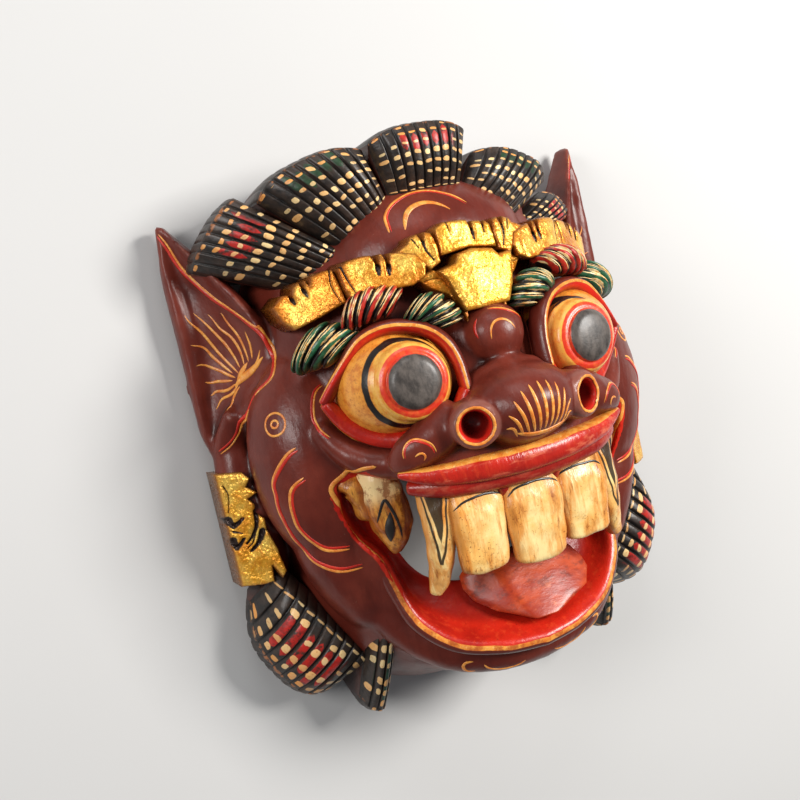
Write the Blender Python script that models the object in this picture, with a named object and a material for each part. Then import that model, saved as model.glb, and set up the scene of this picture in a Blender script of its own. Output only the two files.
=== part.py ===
"""Barong mask: one block of wood, carved, hollowed from behind, lying on the rim of its hollow."""
import math

import bmesh
import bpy
from mathutils import Matrix, Vector

# Driving sizes, in metres
HEIGHT = 0.226          # top of the hair to the tips of the beard locks
RIM_WALL = 0.012        # wood left between the hollow and the outside at the rim
FACE_WALL = 0.016       # wood left between the hollow and the front of the block
EYE_DIAMETER = 0.042    # width of one eyeball
TOOTH_LENGTH = 0.032    # gum to edge of the middle tooth
NOSE_RISE = 0.022       # how far the nose stands out of the muzzle

# The carving is laid out in shares of the height, 226 of them.
# X runs to the right of the face, Y to the crown and Z out of the face.
SHARE = HEIGHT / 226
BLOCK_HALF_WIDTH = 76
BLOCK_TOP = 102
BLOCK_BOTTOM = 107
BLOCK_RISE = 74
LEAF_DEPTH = 16         # how deep the crown leaves run into the wood
SPARE = 3               # wood below the rim that the saw takes off
CROWN_SQUARENESS = 2.5  # 2 is a plain oval, more is squarer
JAW_SQUARENESS = 3.2
DOME_BLUNTNESS = 2.3
FACE_CURVE = Vector((84, 118, 85))  # half sizes of the egg that the face follows
FACE_EDGE = 12          # below this height the face turns straight outward
LEFT, RIGHT = -1, 1
LIGHTER = 0.78          # share of the faces kept when slivers are collapsed

WOOD_COLOR = (0.075, 0.018, 0.013, 1)
WOOD_ROUGHNESS = 0.42


def shares(metres):
    """Turn a size in metres into shares of the height."""
    return metres / SHARE


def to_side(points, side):
    """Points of the right half, or their mirror image for the left half."""
    return [Vector((side * x, y, z)) for x, y, z in points]


def smooth_path(points, count):
    """A Catmull-Rom curve through points, read at count places."""
    points = [Vector(p) for p in points]
    spans = len(points) - 1
    result = []
    for i in range(count):
        place = i / (count - 1) * spans
        k = min(int(place), spans - 1)
        t = place - k
        p0 = points[max(k - 1, 0)]
        p1 = points[k]
        p2 = points[k + 1]
        p3 = points[min(k + 2, spans)]
        result.append(0.5 * (2 * p1 + (p2 - p0) * t
                             + (2 * p0 - 5 * p1 + 4 * p2 - p3) * t * t
                             + (3 * p1 - p0 - 3 * p2 + p3) * t * t * t))
    return result


def between(values, place):
    """Read an evenly spaced list of numbers at a place from 0 to 1."""
    spot = place * (len(values) - 1)
    k = min(int(spot), len(values) - 2)
    return values[k] + (values[k + 1] - values[k]) * (spot - k)


def out_of_face(p):
    """Direction that points straight out of the rounded block at a point."""
    squares = [half ** 2 for half in FACE_CURVE]
    return Vector((p.x / squares[0], p.y / squares[1], max(p.z, FACE_EDGE) / squares[2])).normalized()


def loft(rings, tips=(None, None)):
    """Closed solid through rings of points; each end closes on a tip or on its own middle."""
    bm = bmesh.new()
    rows = [[bm.verts.new(p) for p in ring] for ring in rings]
    size = len(rows[0])
    for low, high in zip(rows, rows[1:]):
        for i in range(size):
            j = (i + 1) % size
            bm.faces.new((low[i], low[j], high[j], high[i]))
    for row, tip, flip in ((rows[0], tips[0], True), (rows[-1], tips[1], False)):
        middle = sum((v.co for v in row), Vector()) / size if tip is None else Vector(tip)
        centre = bm.verts.new(middle)
        for i in range(size):
            j = (i + 1) % size
            bm.faces.new((row[j], row[i], centre) if flip else (row[i], row[j], centre))
    bmesh.ops.recalc_face_normals(bm, faces=bm.faces)
    return bm


def roll(points, widths, heights=None, sides=8, steps=9, outward=out_of_face, point=0.5):
    """A carved roll along a curve: widths across it, heights out of the face, pointed ends."""
    heights = heights or widths
    path = smooth_path(points, steps)
    rings = []
    for i, p in enumerate(path):
        along = (path[min(i + 1, steps - 1)] - path[max(i - 1, 0)]).normalized()
        out = outward(p)
        out = (out - along * out.dot(along)).normalized()
        across = along.cross(out)
        place = i / (steps - 1)
        w = between(widths, place)
        h = between(heights, place)
        rings.append([p + across * (w * math.cos(a)) + out * (h * math.sin(a))
                      for a in (2 * math.pi * k / sides for k in range(sides))])
    first = path[0] + (path[0] - path[1]).normalized() * widths[0] * point
    last = path[-1] + (path[-1] - path[-2]).normalized() * widths[-1] * point
    return loft(rings, (first, last))


def blob(centre, radii, sides=12, rows=7, turn=None):
    """An egg shape with its poles along Z before the turn."""
    bm = bmesh.new()
    bmesh.ops.create_uvsphere(bm, u_segments=sides, v_segments=rows, radius=1)
    turn = turn or Matrix.Identity(4)
    scale = Matrix.Diagonal((*radii, 1))
    bmesh.ops.transform(bm, matrix=Matrix.Translation(centre) @ turn @ scale, verts=bm.verts)
    return bm


def turned(centre, axis, profile, sides=16):
    """A turned form: profile pairs of radius and height along the axis, last pair on top."""
    turn = Vector((0, 0, 1)).rotation_difference(Vector(axis)).to_matrix()
    rings = []
    for radius, height in profile[1:-1]:
        rings.append([Vector(centre) + turn @ Vector((radius * math.cos(a), radius * math.sin(a), height))
                      for a in (2 * math.pi * k / sides for k in range(sides))])
    tips = [Vector(centre) + turn @ Vector((0, 0, profile[k][1])) for k in (0, -1)]
    return loft(rings, tips)


def leaf(outline, surface, depth):
    """A flat leaf cut to an outline, its front on a surface z(x, y), let into the wood by depth."""
    bm = bmesh.new()
    front = [bm.verts.new((x, y, surface(x, y))) for x, y in outline]
    back = [bm.verts.new((x, y, surface(x, y) - depth)) for x, y in outline]
    count = len(outline)
    faces = [bm.faces.new(front), bm.faces.new(back[::-1])]
    for i in range(count):
        j = (i + 1) % count
        bm.faces.new((front[i], back[i], back[j], front[j]))
    bm.normal_update()
    bmesh.ops.triangulate(bm, faces=faces, ngon_method="BEAUTY")
    bmesh.ops.recalc_face_normals(bm, faces=bm.faces)
    return bm


def head_block(half_width, top, bottom, rise, sides=30, rows=6, floor=0.0):
    """The rounded block of the head: a flat oval at the floor under a blunt dome."""
    rings = []
    for row in range(rows):
        up = math.pi / 2 * row / rows
        share = math.cos(up) ** (2 / DOME_BLUNTNESS)
        height = rise * math.sin(up) ** (2 / DOME_BLUNTNESS)
        ring = []
        for k in range(sides):
            a = 2 * math.pi * k / sides
            c, s = math.cos(a), math.sin(a)
            n = CROWN_SQUARENESS if s > 0 else JAW_SQUARENESS
            reach = top if s > 0 else bottom
            radius = (abs(c / half_width) ** n + abs(s / reach) ** n) ** (-1 / n)
            ring.append(Vector((c * radius * share, s * radius * share, floor + height)))
        rings.append(ring)
    return loft(rings, ((0, 0, floor), (0, 0, floor + rise)))


def hair_block(root, crest, strands, groove=1.8, fall=8.0, bow=0.25, belly=7.0, floor=1.0, tuck=12.0):
    """A fan of carved strands from a root line (two points) to a crest line (two points).

    The front bellies out across the fan, the crest is bowed outward by a share of its width,
    and the form falls back to the floor behind the crest.
    """
    root_a, root_b = (Vector(p) for p in root)
    crest_a, crest_b = (Vector(p) for p in crest)
    flow = ((crest_a + crest_b) - (root_a + root_b)) / 2
    flat = Vector((flow.x, flow.y, 0)).normalized()
    width = (crest_b - crest_a).length
    stations = 2 * strands
    rings = []
    for i in range(stations + 1):
        place = i / stations
        bulge = 1 - abs(2 * place - 1) ** 2.4
        cut = groove if i % 2 == 0 else 0.0
        low = root_a.lerp(root_b, place)
        high = crest_a.lerp(crest_b, place) + flat * bow * width * bulge
        swell = belly * bulge - cut
        front = []
        for t, lift in ((0.0, 0.55), (0.35, 1.0), (0.75, 1.0), (1.0, 0.6)):
            spot = low.lerp(high, t)
            front.append(spot + Vector((0, 0, swell * lift)))
        shoulder = high + flat * (1.5 - cut * 0.5) + Vector((0, 0, -fall * 0.5))
        back = high - flat * fall * 0.4
        back.z = floor
        foot = low - flat * tuck
        rings.append([Vector((foot.x, foot.y, floor))] + [foot + Vector((0, 0, -tuck * 0.4))]
                     + front + [shoulder, Vector(back)])
    return loft(rings)


def fluted_lump(points, widths, heights, flutes, groove=0.16, sides=7, shear=0.5):
    """A lock of the brow: a short roll cut by slanting grooves."""
    steps = 2 * flutes + 1
    path = smooth_path(points, steps)
    rings = []
    for i, p in enumerate(path):
        along = (path[min(i + 1, steps - 1)] - path[max(i - 1, 0)]).normalized()
        out = out_of_face(p)
        out = (out - along * out.dot(along)).normalized()
        across = along.cross(out)
        place = i / (steps - 1)
        cut = 1 - (groove if i % 2 == 0 else 0)
        w = between(widths, place) * cut
        h = between(heights, place) * cut
        ring = []
        for k in range(sides):
            a = 2 * math.pi * k / sides
            ring.append(p + across * (w * math.cos(a)) + out * (h * math.sin(a))
                        + along * (shear * w * math.cos(a)))
        rings.append(ring)
    return loft(rings)


def mirrored(make):
    """The same form on both sides of the face."""
    return [make(LEFT), make(RIGHT)]


def eye_axis(side):
    return Vector((side * 0.16, 0.02, 0.98)).normalized()


def eye(side):
    """Eyeball, the raised ring round the pupil, and the pupil itself."""
    radius = shares(EYE_DIAMETER) / 2
    middle = Vector((side * 36, 22, 62))
    axis = eye_axis(side)
    turn = Vector((0, 0, 1)).rotation_difference(axis).to_matrix().to_4x4()
    ball = blob(middle, (radius, radius * 0.93, radius * 1.07), sides=16, rows=8, turn=turn)
    top = Vector((side * 35, 22, 76))
    pupil = turned(top, axis, [(0, 0), (14, 0), (12.5, 6.2), (9.8, 7.2), (9.6, 8.6), (5.5, 10.2), (0, 10.6)],
                   sides=14)
    return [ball, pupil]


def eyelids(side):
    """The almond rim round the eye, the pouch under it and the fold at its outer corner."""
    upper = [(61, 20, 62), (53, 31, 64), (42, 41, 67), (31, 43, 72), (22, 38, 77),
             (16, 27, 81), (15, 15, 82)]
    lower = [(61, 20, 62), (54, 10, 62), (44, 3, 66), (32, 2, 73), (22, 6, 79), (15, 15, 82)]
    pouch = [(62, 12, 55), (54, 1, 59), (42, -4, 68), (29, -3, 77), (20, 3, 84)]
    return [roll(to_side(upper, side), [1.5, 3.2, 3.6, 3.4, 2.6], [3, 5, 5, 5, 4], sides=6, steps=10),
            roll(to_side(lower, side), [1.5, 3.4, 3.8, 3.4, 2.6], [3, 5, 5, 5, 4], sides=6, steps=8),
            roll(to_side(pouch, side), [4, 6, 6.5, 6, 4], [5, 8, 8, 8, 6], sides=6, steps=7)]


def brows(side):
    """Three carved locks over each eye."""
    inner = [(26, 47, 75), (20, 44, 78), (13, 37, 79)]
    middle = [(49, 46, 66), (39, 51, 70), (29, 51, 73)]
    outer = [(50, 48, 64), (55, 41, 62), (58, 32, 57)]
    return [fluted_lump(to_side(inner, side), [5, 7, 7, 4], [5, 7.5, 7.5, 5], 5),
            fluted_lump(to_side(middle, side), [5, 7, 7, 5], [5, 7.5, 7.5, 5], 6),
            fluted_lump(to_side(outer, side), [6, 8.5, 8.5, 6], [5, 8.5, 8.5, 5], 4, shear=0.25)]


def nose():
    """Nose, the wrinkle above it and the round boss between the eyes."""
    rise = shares(NOSE_RISE)
    return [blob((0, 6, 88), (21, 15, rise), sides=14, rows=8),
            blob((0, 18, 84), (12, 8, 13), sides=8, rows=5),
            blob((0, 31, 80), (9.8, 9.2, 9.2), sides=10, rows=7)]


def nostril(side):
    """A rolled ring with a blind hole in it, and the wing of the nose beside it."""
    axis = Vector((side * 0.42, -0.05, 0.9))
    ring = turned((side * 18.5, 4, 90), axis,
                  [(0, 0), (8.6, 0), (8.8, 8), (7.2, 11), (5.2, 10), (4.6, 5), (0, 4.5)], sides=12)
    wing = [(24, 6, 84), (33, 1, 83), (41, -2, 81), (45, -6, 76)]
    return [ring, roll(to_side(wing, side), [9, 8, 6.5, 4], [9, 8, 6, 4], sides=7, steps=5)]


def cheek(side):
    """The full cheek beside the mouth and the roll that runs from it down to the jaw."""
    lower = [(60, -20, 33), (60, -34, 34), (56, -48, 35), (51, -59, 37), (45, -66, 40)]
    return [blob((side * 56, -2, 33), (28.5, 44, 25), sides=16, rows=9),
            roll(to_side(lower, side), [14, 16, 16, 14, 9], [15, 16, 15, 13, 9], sides=10, steps=7),
            roll(to_side([(84, 14, 9), (85, -4, 12), (83, -24, 14), (82, -44, 12)], side),
                 [8, 9, 10, 8], [6, 9, 9, 8], sides=8, steps=6)]


def muzzle():
    """The raised part under the nose that carries the upper lip."""
    return [blob((0, -9, 66), (46, 15, 26), sides=16, rows=7),
            blob((0, 20, 62), (24, 34, 22), sides=12, rows=6)]


def mouth_floor(place):
    """Outer rim and inner edge of the lower lip at a place from -1 (left corner) to 1."""
    rim = smooth_path([(62, -9, 54), (62, -20, 50), (57, -33, 49), (51, -43, 53), (48, -55, 55),
                       (44, -68, 59), (33, -79, 65), (17, -84, 71), (0, -86, 73)], 33)
    edge = smooth_path([(52, -13, 50), (46, -22, 45), (42, -31, 43), (38, -40, 43), (35, -48, 44),
                        (30, -56, 46), (22, -61, 49), (11, -62, 52), (0, -62, 53)], 33)
    k = round((1 - abs(place)) * 32)
    side = RIGHT if place >= 0 else LEFT
    return to_side([rim[k]], side)[0], to_side([edge[k]], side)[0]


def lower_lip(steps=20):
    """The broad lower lip, a sloping ledge from its rim down to the opening of the mouth."""
    rings = []
    for i in range(steps + 1):
        rim, edge = mouth_floor(2 * i / steps - 1)
        away = Vector((rim.x - edge.x, rim.y - edge.y, 0)).normalized()
        ledge = rim.lerp(edge, 0.45) - Vector((0, 0, 2.5))
        rings.append([rim + Vector((0, 0, 1.5)), rim + away * 3.0, rim + away * 1.0 + Vector((0, 0, -7)),
                      rim - Vector((0, 0, 26)), edge - Vector((0, 0, 14)), edge, ledge,
                      rim - away * 3.0 + Vector((0, 0, 0.3))])
    return loft(rings)


def chin():
    """The roll under the lower lip and the deeper jaw behind it."""
    under_lip = [(-50, -48, 38), (-43, -68, 42), (-25, -82, 50), (0, -86, 54),
                 (25, -82, 50), (43, -68, 42), (50, -48, 38)]
    return [roll(under_lip, [8, 10, 11, 11.5, 11, 10, 8], [10, 12, 14, 14, 14, 12, 10], sides=8, steps=14),
            blob((0, -70, 26), (53, 35, 30), sides=16, rows=7)]


def upper_lip():
    """The red upper lip and the gum under it."""
    lip = [(-45, -10, 79), (-34, -12, 84), (-18, -13, 90), (0, -14, 92), (18, -13, 90), (34, -12, 84), (45, -10, 79)]
    gum = [(-42, -17, 76), (-28, -19, 83), (0, -20, 87), (28, -19, 83), (42, -17, 76)]
    return [roll(lip, [2.5, 4.6, 5, 5, 5, 4.6, 2.5], [3, 4.5, 5, 5, 5, 4.5, 3], sides=7, steps=15),
            roll(gum, [4, 6, 6, 6, 4], [5, 6, 6, 6, 5], sides=6, steps=10)]


def tooth(x, top, bottom, z, width, thick=5.0, lean=0.0):
    """One flat front tooth, rounded at its edge."""
    path = [(x, top, z - 2), (x + lean * 0.3, top * 0.6 + bottom * 0.4, z),
            (x + lean, bottom + 2.5, z - 1)]
    return roll(path, [width * 0.9, width, width * 0.86], [thick, thick, thick * 0.7], sides=8, steps=5,
                outward=lambda p: Vector((0, 0, 1)), point=0.28)


def teeth():
    """Three front teeth, two fangs and two tusks at the corners."""
    gum = -20
    edge = gum - shares(TOOTH_LENGTH)
    forms = [tooth(0, gum, edge - 1, 84, 12)]
    for side in (LEFT, RIGHT):
        forms.append(tooth(side * 20.5, gum, edge + 1, 82, 10, lean=side * 1.0))
        fang = [(33, gum, 77), (34.5, -34, 77), (36.5, -46, 75), (38.5, edge - 3, 72)]
        forms.append(roll(to_side(fang, side), [6.4, 5.6, 4.6, 3], [5, 5, 4.5, 2.5], sides=8, steps=6, point=0.5))
        tusk = [(48, -8, 58), (46, -18, 58), (44, -30, 57), (43, -39, 55)]
        forms.append(roll(to_side(tusk, side), [6, 8.5, 7.5, 3], [6, 8, 7, 4], sides=8, steps=6))
        stub = [(59, -10, 52), (54, -13, 55), (50, -24, 53)]
        forms.append(roll(to_side(stub, side), [3, 5.5, 5], [4, 6, 5], sides=6, steps=4))
    return forms


def tongue():
    """The tongue lies on the lower lip and comes to a blunt tip."""
    path = [(0, -56, 50), (0, -62, 56), (1, -70, 63), (1, -77, 69)]
    up = Vector((0, 0.55, 0.83))
    return roll(path, [17, 21, 19, 9], [6, 8, 8, 5], sides=10, steps=7, outward=lambda p: up, point=0.35)


def crown_front(x, y):
    """Height of the gilded crown band."""
    return 80 - 0.0072 * x * x - 0.2 * (y - 55)


def crown(side):
    """The gilded leaves on one side of the crown, with notched upper edges."""
    first = [(67, 57), (64, 47), (49, 53), (45, 58), (46, 63), (49, 65),
             (55, 64), (56, 61), (58, 64), (59, 60), (62, 61)]
    second = [(47, 66), (43, 69), (34, 70), (33, 66), (31, 70), (30, 66), (28, 70), (23, 68), (18, 62),
              (31, 55), (44, 55), (45, 60)]
    third = [(27, 68), (17, 71), (16, 74), (12, 71), (11, 65), (12, 59), (20, 57)]
    wing = [(22, 56), (15, 58), (11, 55), (7, 41), (8, 36), (10, 44), (12, 48), (17, 51)]
    fronts = [crown_front, lambda x, y: crown_front(x, y) + 1.5,
              crown_front, lambda x, y: crown_front(x, y) - 1.5]
    return [leaf([(side * x, y) for x, y in outline][::side], front, LEAF_DEPTH)
            for outline, front in zip((first, second, third, wing), fronts)]


def crown_middle():
    """The top leaf of the crown and the large plate between the brows."""
    top_leaf = [(-12, 62), (-10, 72), (-4, 74), (0, 74), (2, 70), (4, 74),
                (6, 70), (9, 73), (12, 68), (12, 61), (0, 64)]
    plate = [(-14, 56), (-8, 57), (-6, 61), (0, 62), (8, 60), (10, 57), (15, 57), (13, 48), (8, 41), (-9, 41)]
    return [leaf(top_leaf[::-1], crown_front, LEAF_DEPTH),
            leaf(plate[::-1], lambda x, y: crown_front(x, y) + 2.5, LEAF_DEPTH)]


def hair(number):
    """Five blocks of hair round the forehead; each has its own root and crest."""
    roots = [((-52, 60, 36), (-37, 73, 46)), ((-36, 72, 46), (-16, 88, 52)), ((-15, 88, 53), (15, 87, 53)),
             ((16, 86, 52), (37, 70, 46)), ((38, 69, 44), (50, 58, 34))]
    crests = [((-86, 76, 20), (-69, 98, 34)), ((-60, 95, 40), (-21, 106, 52)), ((-20, 107, 56), (20, 106, 56)),
              ((24, 98, 50), (60, 82, 38)), ((61, 79, 32), (78, 64, 18))]
    return hair_block(roots[number], crests[number], 7, bow=(0.1, 0.2, 0.16, 0.2, 0.15)[number])


def curl(side):
    """The round curl of the beard under each gilded leaf."""
    root = [(84, -42, 24), (56, -84, 28)]
    crest = [(92, -50, 12), (68, -92, 12)]
    return hair_block([(side * x, y, z) for x, y, z in root], [(side * x, y, z) for x, y, z in crest],
                      7, bow=0.22, belly=11, groove=2.0, tuck=6)


def beard_lock(side):
    """The pointed lock that hangs beside the chin."""
    root = [(57, -62, 47), (42, -62, 54)]
    crest = [(60, -104, 20), (47, -109, 20)]
    return hair_block([(side * x, y, z) for x, y, z in root], [(side * x, y, z) for x, y, z in crest],
                      3, bow=0.25, belly=5, groove=1.6, tuck=4)


def ear(side):
    """A pointed leaf-shaped ear, hollowed in front, with a rounded inner rim."""
    outer = smooth_path([(92, 4, 11), (95, 18, 11), (95, 45, 11), (95, 72, 11), (94, 97, 10)], 9)
    inner = smooth_path([(90, 6, 15), (78, 24, 28), (67, 40, 33), (72, 60, 30), (92, 96, 12)], 9)
    rings = []
    for i, (a, b) in enumerate(zip(outer, inner)):
        width = (a - b).length
        sag = min(width * 0.16, 5)
        back = min(width * 0.25, 7)
        ring = [a, a.lerp(b, 0.3) - Vector((0, 0, sag)), a.lerp(b, 0.7) - Vector((0, 0, sag * 0.8)),
                a.lerp(b, 0.9) + Vector((0, 0, 1.2)), b, b.lerp(Vector((b.x - 4, b.y, b.z - 8)), min(1, width / 12)),
                Vector((b.x - 3, b.y, 2 + b.z * 0.2)), Vector((a.x - 2, a.y, 4)), a - Vector((0, 0, back * 0.6))]
        rings.append(to_side(ring, side))
    return loft(rings)


def side_leaf(side):
    """The gilded leaf under each ear, with a scalloped inner edge."""
    outline = [(95, 0), (88, 0), (87, -5), (85, -5), (86, -9), (83, -10), (86, -13),
               (84, -20), (82, -28), (80, -33), (80, -39), (83, -38), (83, -42), (95, -43)]
    return leaf([(side * x, y) for x, y in outline][::side], lambda x, y: 17 + (95 - abs(x)) * 0.9, 14)


def mouth_bowl(steps=16):
    """What is cut away above the lower lip, from its rim to its inner edge."""
    rings = []
    for i in range(steps + 1):
        rim, edge = mouth_floor(2 * i / steps - 1)
        outer = rim.lerp(edge, 0.06) - Vector((0, 0, 1.3))
        inner = edge.lerp(rim, -0.1) - Vector((0, 0, 1.3))
        lift = Vector((0, 0, 60))
        rings.append([outer, inner, inner + lift, outer + lift])
    return loft(rings)


def mouth_gap():
    """What is cut away between the jaws, right through to the hollow."""
    right = [(12, -63), (23, -62), (31, -57), (36, -49), (39, -41), (43, -32), (44, -12), (0, -14)]
    outline = right + [(-x, y) for x, y in reversed(right[:-1])]
    bm = bmesh.new()
    face = bm.faces.new([bm.verts.new((x, y, 20)) for x, y in outline])
    grown = bmesh.ops.extrude_face_region(bm, geom=[face])
    lift = [v for v in grown["geom"] if isinstance(v, bmesh.types.BMVert)]
    bmesh.ops.translate(bm, verts=lift, vec=(0, 0, 100))
    bmesh.ops.recalc_face_normals(bm, faces=bm.faces)
    return bm


def hollow():
    """The hollow that the carver takes out of the back."""
    wall = shares(RIM_WALL)
    return head_block(BLOCK_HALF_WIDTH - wall, BLOCK_TOP - wall, BLOCK_BOTTOM - wall,
                      BLOCK_RISE - shares(FACE_WALL) + SPARE, sides=24, rows=5, floor=-SPARE)


def below_floor():
    """Everything under the flat rim that the mask lies on."""
    bm = bmesh.new()
    bmesh.ops.create_cube(bm, size=400)
    bmesh.ops.translate(bm, verts=bm.verts, vec=(0, 0, -200))
    return bm


def put(name, bm):
    """Turn a form into an object at its real size."""
    bmesh.ops.scale(bm, vec=(SHARE, SHARE, SHARE), verts=bm.verts)
    mesh = bpy.data.meshes.new(name)
    bm.to_mesh(mesh)
    bm.free()
    thing = bpy.data.objects.new(name, mesh)
    bpy.context.scene.collection.objects.link(thing)
    return thing


def carve(body, forms, operation):
    """Join forms to the body, or cut them out of it, and drop the tools."""
    tools = bpy.data.collections.new("tools")
    bpy.context.scene.collection.children.link(tools)
    for form in forms:
        thing = put("tool", form)
        bpy.context.scene.collection.objects.unlink(thing)
        tools.objects.link(thing)
    step = body.modifiers.new("carve", "BOOLEAN")
    step.operation = operation
    step.operand_type = "COLLECTION"
    step.collection = tools
    # So many forms cross here that the exact solver leaves edges open when its faces are split
    step.solver = "MANIFOLD"
    depsgraph = bpy.context.evaluated_depsgraph_get()
    result = bpy.data.meshes.new_from_object(body.evaluated_get(depsgraph))
    body.modifiers.clear()
    body.data = result
    for thing in list(tools.objects):
        bpy.data.objects.remove(thing)
    bpy.data.collections.remove(tools)


def lighten(body):
    """Collapse the slivers that the joins leave, so that the solid stays light."""
    bm = bmesh.new()
    bm.from_mesh(body.data)
    bmesh.ops.triangulate(bm, faces=bm.faces)
    bm.to_mesh(body.data)
    bm.free()
    step = body.modifiers.new("lighten", "DECIMATE")
    step.ratio = LIGHTER
    depsgraph = bpy.context.evaluated_depsgraph_get()
    result = bpy.data.meshes.new_from_object(body.evaluated_get(depsgraph))
    body.modifiers.clear()
    body.data = result


def settle(body):
    """Bring the middle of the rim box to the origin, with the rim on the floor."""
    places = [v.co for v in body.data.vertices]
    low = Vector(min(p[axis] for p in places) for axis in range(3))
    high = Vector(max(p[axis] for p in places) for axis in range(3))
    middle = (low + high) / 2
    body.data.transform(Matrix.Translation((-middle.x, -middle.y, -low.z)))


def painted_wood():
    material = bpy.data.materials.new("painted_wood")
    material.use_nodes = True
    shader = material.node_tree.nodes["Principled BSDF"]
    shader.inputs["Base Color"].default_value = WOOD_COLOR
    shader.inputs["Roughness"].default_value = WOOD_ROUGHNESS
    shader.inputs["Metallic"].default_value = 0.0
    return material


def flatten(groups):
    """One list of forms from nested lists."""
    forms = []
    for group in groups:
        if isinstance(group, list):
            forms.extend(flatten(group))
        else:
            forms.append(group)
    return forms


def build():
    for thing in list(bpy.data.objects):
        bpy.data.objects.remove(thing)
    mask = put("mask", head_block(BLOCK_HALF_WIDTH, BLOCK_TOP, BLOCK_BOTTOM, BLOCK_RISE + SPARE, floor=-SPARE))
    face = [mirrored(cheek), muzzle(), chin(), blob((0, 66, 42), (40, 26, 27), sides=14, rows=7),
            mirrored(eyelids), mirrored(eye), nose(), mirrored(nostril), mirrored(ear), mirrored(side_leaf),
            mirrored(crown), crown_middle(), mirrored(brows), [hair(k) for k in range(5)], mirrored(curl),
            mirrored(beard_lock)]
    carve(mask, flatten(face), "UNION")
    carve(mask, [mouth_gap(), mouth_bowl(), hollow()], "DIFFERENCE")
    carve(mask, flatten([lower_lip(), upper_lip(), teeth(), tongue()]), "UNION")
    carve(mask, [below_floor()], "DIFFERENCE")
    lighten(mask)
    settle(mask)
    mask.data.materials.clear()
    mask.data.materials.append(painted_wood())
    return mask


build()
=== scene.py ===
# %% [markdown]
# # A carved and painted guardian mask
# The real mask is one block of light wood. The carver roughs out a rounded head, cuts the
# features into it, hollows the back with a gouge, and a painter covers everything with paint
# and gold leaf. This lesson follows the same order: block, features, hollow, then paint.
#
# The solids of the mask are already packed as a frame. Everything here is laid out in
# millimetres in the same directions: X to the right of the face, Y towards the crown and Z
# out of the face. The mask lies on the flat rim of its hollow.

# %% Load the frame
import math

import bmesh
import bpy
import numpy as np
from mathutils import Matrix, Vector, noise
from mathutils.geometry import delaunay_2d_cdt


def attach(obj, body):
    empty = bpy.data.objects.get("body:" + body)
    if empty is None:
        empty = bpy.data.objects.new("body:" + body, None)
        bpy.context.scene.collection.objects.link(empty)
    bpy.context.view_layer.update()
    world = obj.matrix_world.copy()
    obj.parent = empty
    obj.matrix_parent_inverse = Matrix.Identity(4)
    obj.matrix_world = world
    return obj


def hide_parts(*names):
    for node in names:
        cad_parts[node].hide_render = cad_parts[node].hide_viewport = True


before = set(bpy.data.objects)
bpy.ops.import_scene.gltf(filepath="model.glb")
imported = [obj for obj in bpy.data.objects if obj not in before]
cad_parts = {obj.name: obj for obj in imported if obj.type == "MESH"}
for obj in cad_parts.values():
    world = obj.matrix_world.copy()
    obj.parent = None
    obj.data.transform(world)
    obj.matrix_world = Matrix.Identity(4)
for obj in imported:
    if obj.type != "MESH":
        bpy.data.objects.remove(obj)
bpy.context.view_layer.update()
BODY = "root"
NODE = "mask"

# %% [markdown]
# The carving is measured from the middle of the block, but the frame is measured from the
# middle of the mask's outline, a little lower. One small move brings the two together.

# %% From carving millimetres to metres
MM = 0.001
MOVE = np.array((0.0, -1.29, 0.0))
LEFT, RIGHT = -1, 1
SIDES = (LEFT, RIGHT)


def to_metres(points):
    """Carving millimetres to metres of the frame."""
    return (np.asarray(points, float) + MOVE) * MM


# %% [markdown]
# ## The camera
# The photograph looks at the face from above and from its left. Because the mask lies on its
# back here, the camera looks down on it from the same side. The three rows are the directions
# to the right, down and forward in the picture.

# %% Camera at the photograph's angle
PICTURE = np.array(((0.89275, -0.21842, 0.39408),
                    (-0.24418, -0.9696, 0.01577),
                    (0.37866, -0.11031, -0.91894)))
CAMERA_AT = (-194.0, 61.47, 454.17)
FOCAL_PIXELS = 1171.64
PICTURE_PIXELS = 800
FILM = 36.0

camera_data = bpy.data.cameras.new("photo_camera")
camera_data.sensor_width = FILM
camera_data.lens = FOCAL_PIXELS / PICTURE_PIXELS * FILM
camera_data.clip_start = 0.01
camera_data.clip_end = 20.0
camera = bpy.data.objects.new("photo_camera", camera_data)
bpy.context.scene.collection.objects.link(camera)
turn = Matrix((PICTURE[0], -PICTURE[1], -PICTURE[2])).transposed().to_4x4()
camera.matrix_world = Matrix.Translation(Vector(to_metres(CAMERA_AT))) @ turn
bpy.context.scene.camera = camera
print("camera at", [round(v, 3) for v in camera.matrix_world.translation])

# %% [markdown]
# ## The carver's tools
# Nearly every feature of the mask is a roll, a lump or a leaf. A roll is a tube of changing
# width swept along a curve. Each ring of the tube remembers how far along the roll it is, and
# each point how far around, so that paint can follow the form later. The seam of the ring
# lies on the inner side, where the wood hides it.

# %% Curves and numbers along a curve


def smooth_path(points, count):
    """A curve through the points (Catmull-Rom), read at count places."""
    points = np.asarray(points, float)
    spans = len(points) - 1
    places = np.linspace(0, spans, count)
    k = np.minimum(places.astype(int), spans - 1)
    t = (places - k)[:, None]
    p0, p1 = points[np.maximum(k - 1, 0)], points[k]
    p2, p3 = points[k + 1], points[np.minimum(k + 2, spans)]
    return 0.5 * (2 * p1 + (p2 - p0) * t + (2 * p0 - 5 * p1 + 4 * p2 - p3) * t ** 2
                  + (3 * p1 - p0 - 3 * p2 + p3) * t ** 3)


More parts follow.
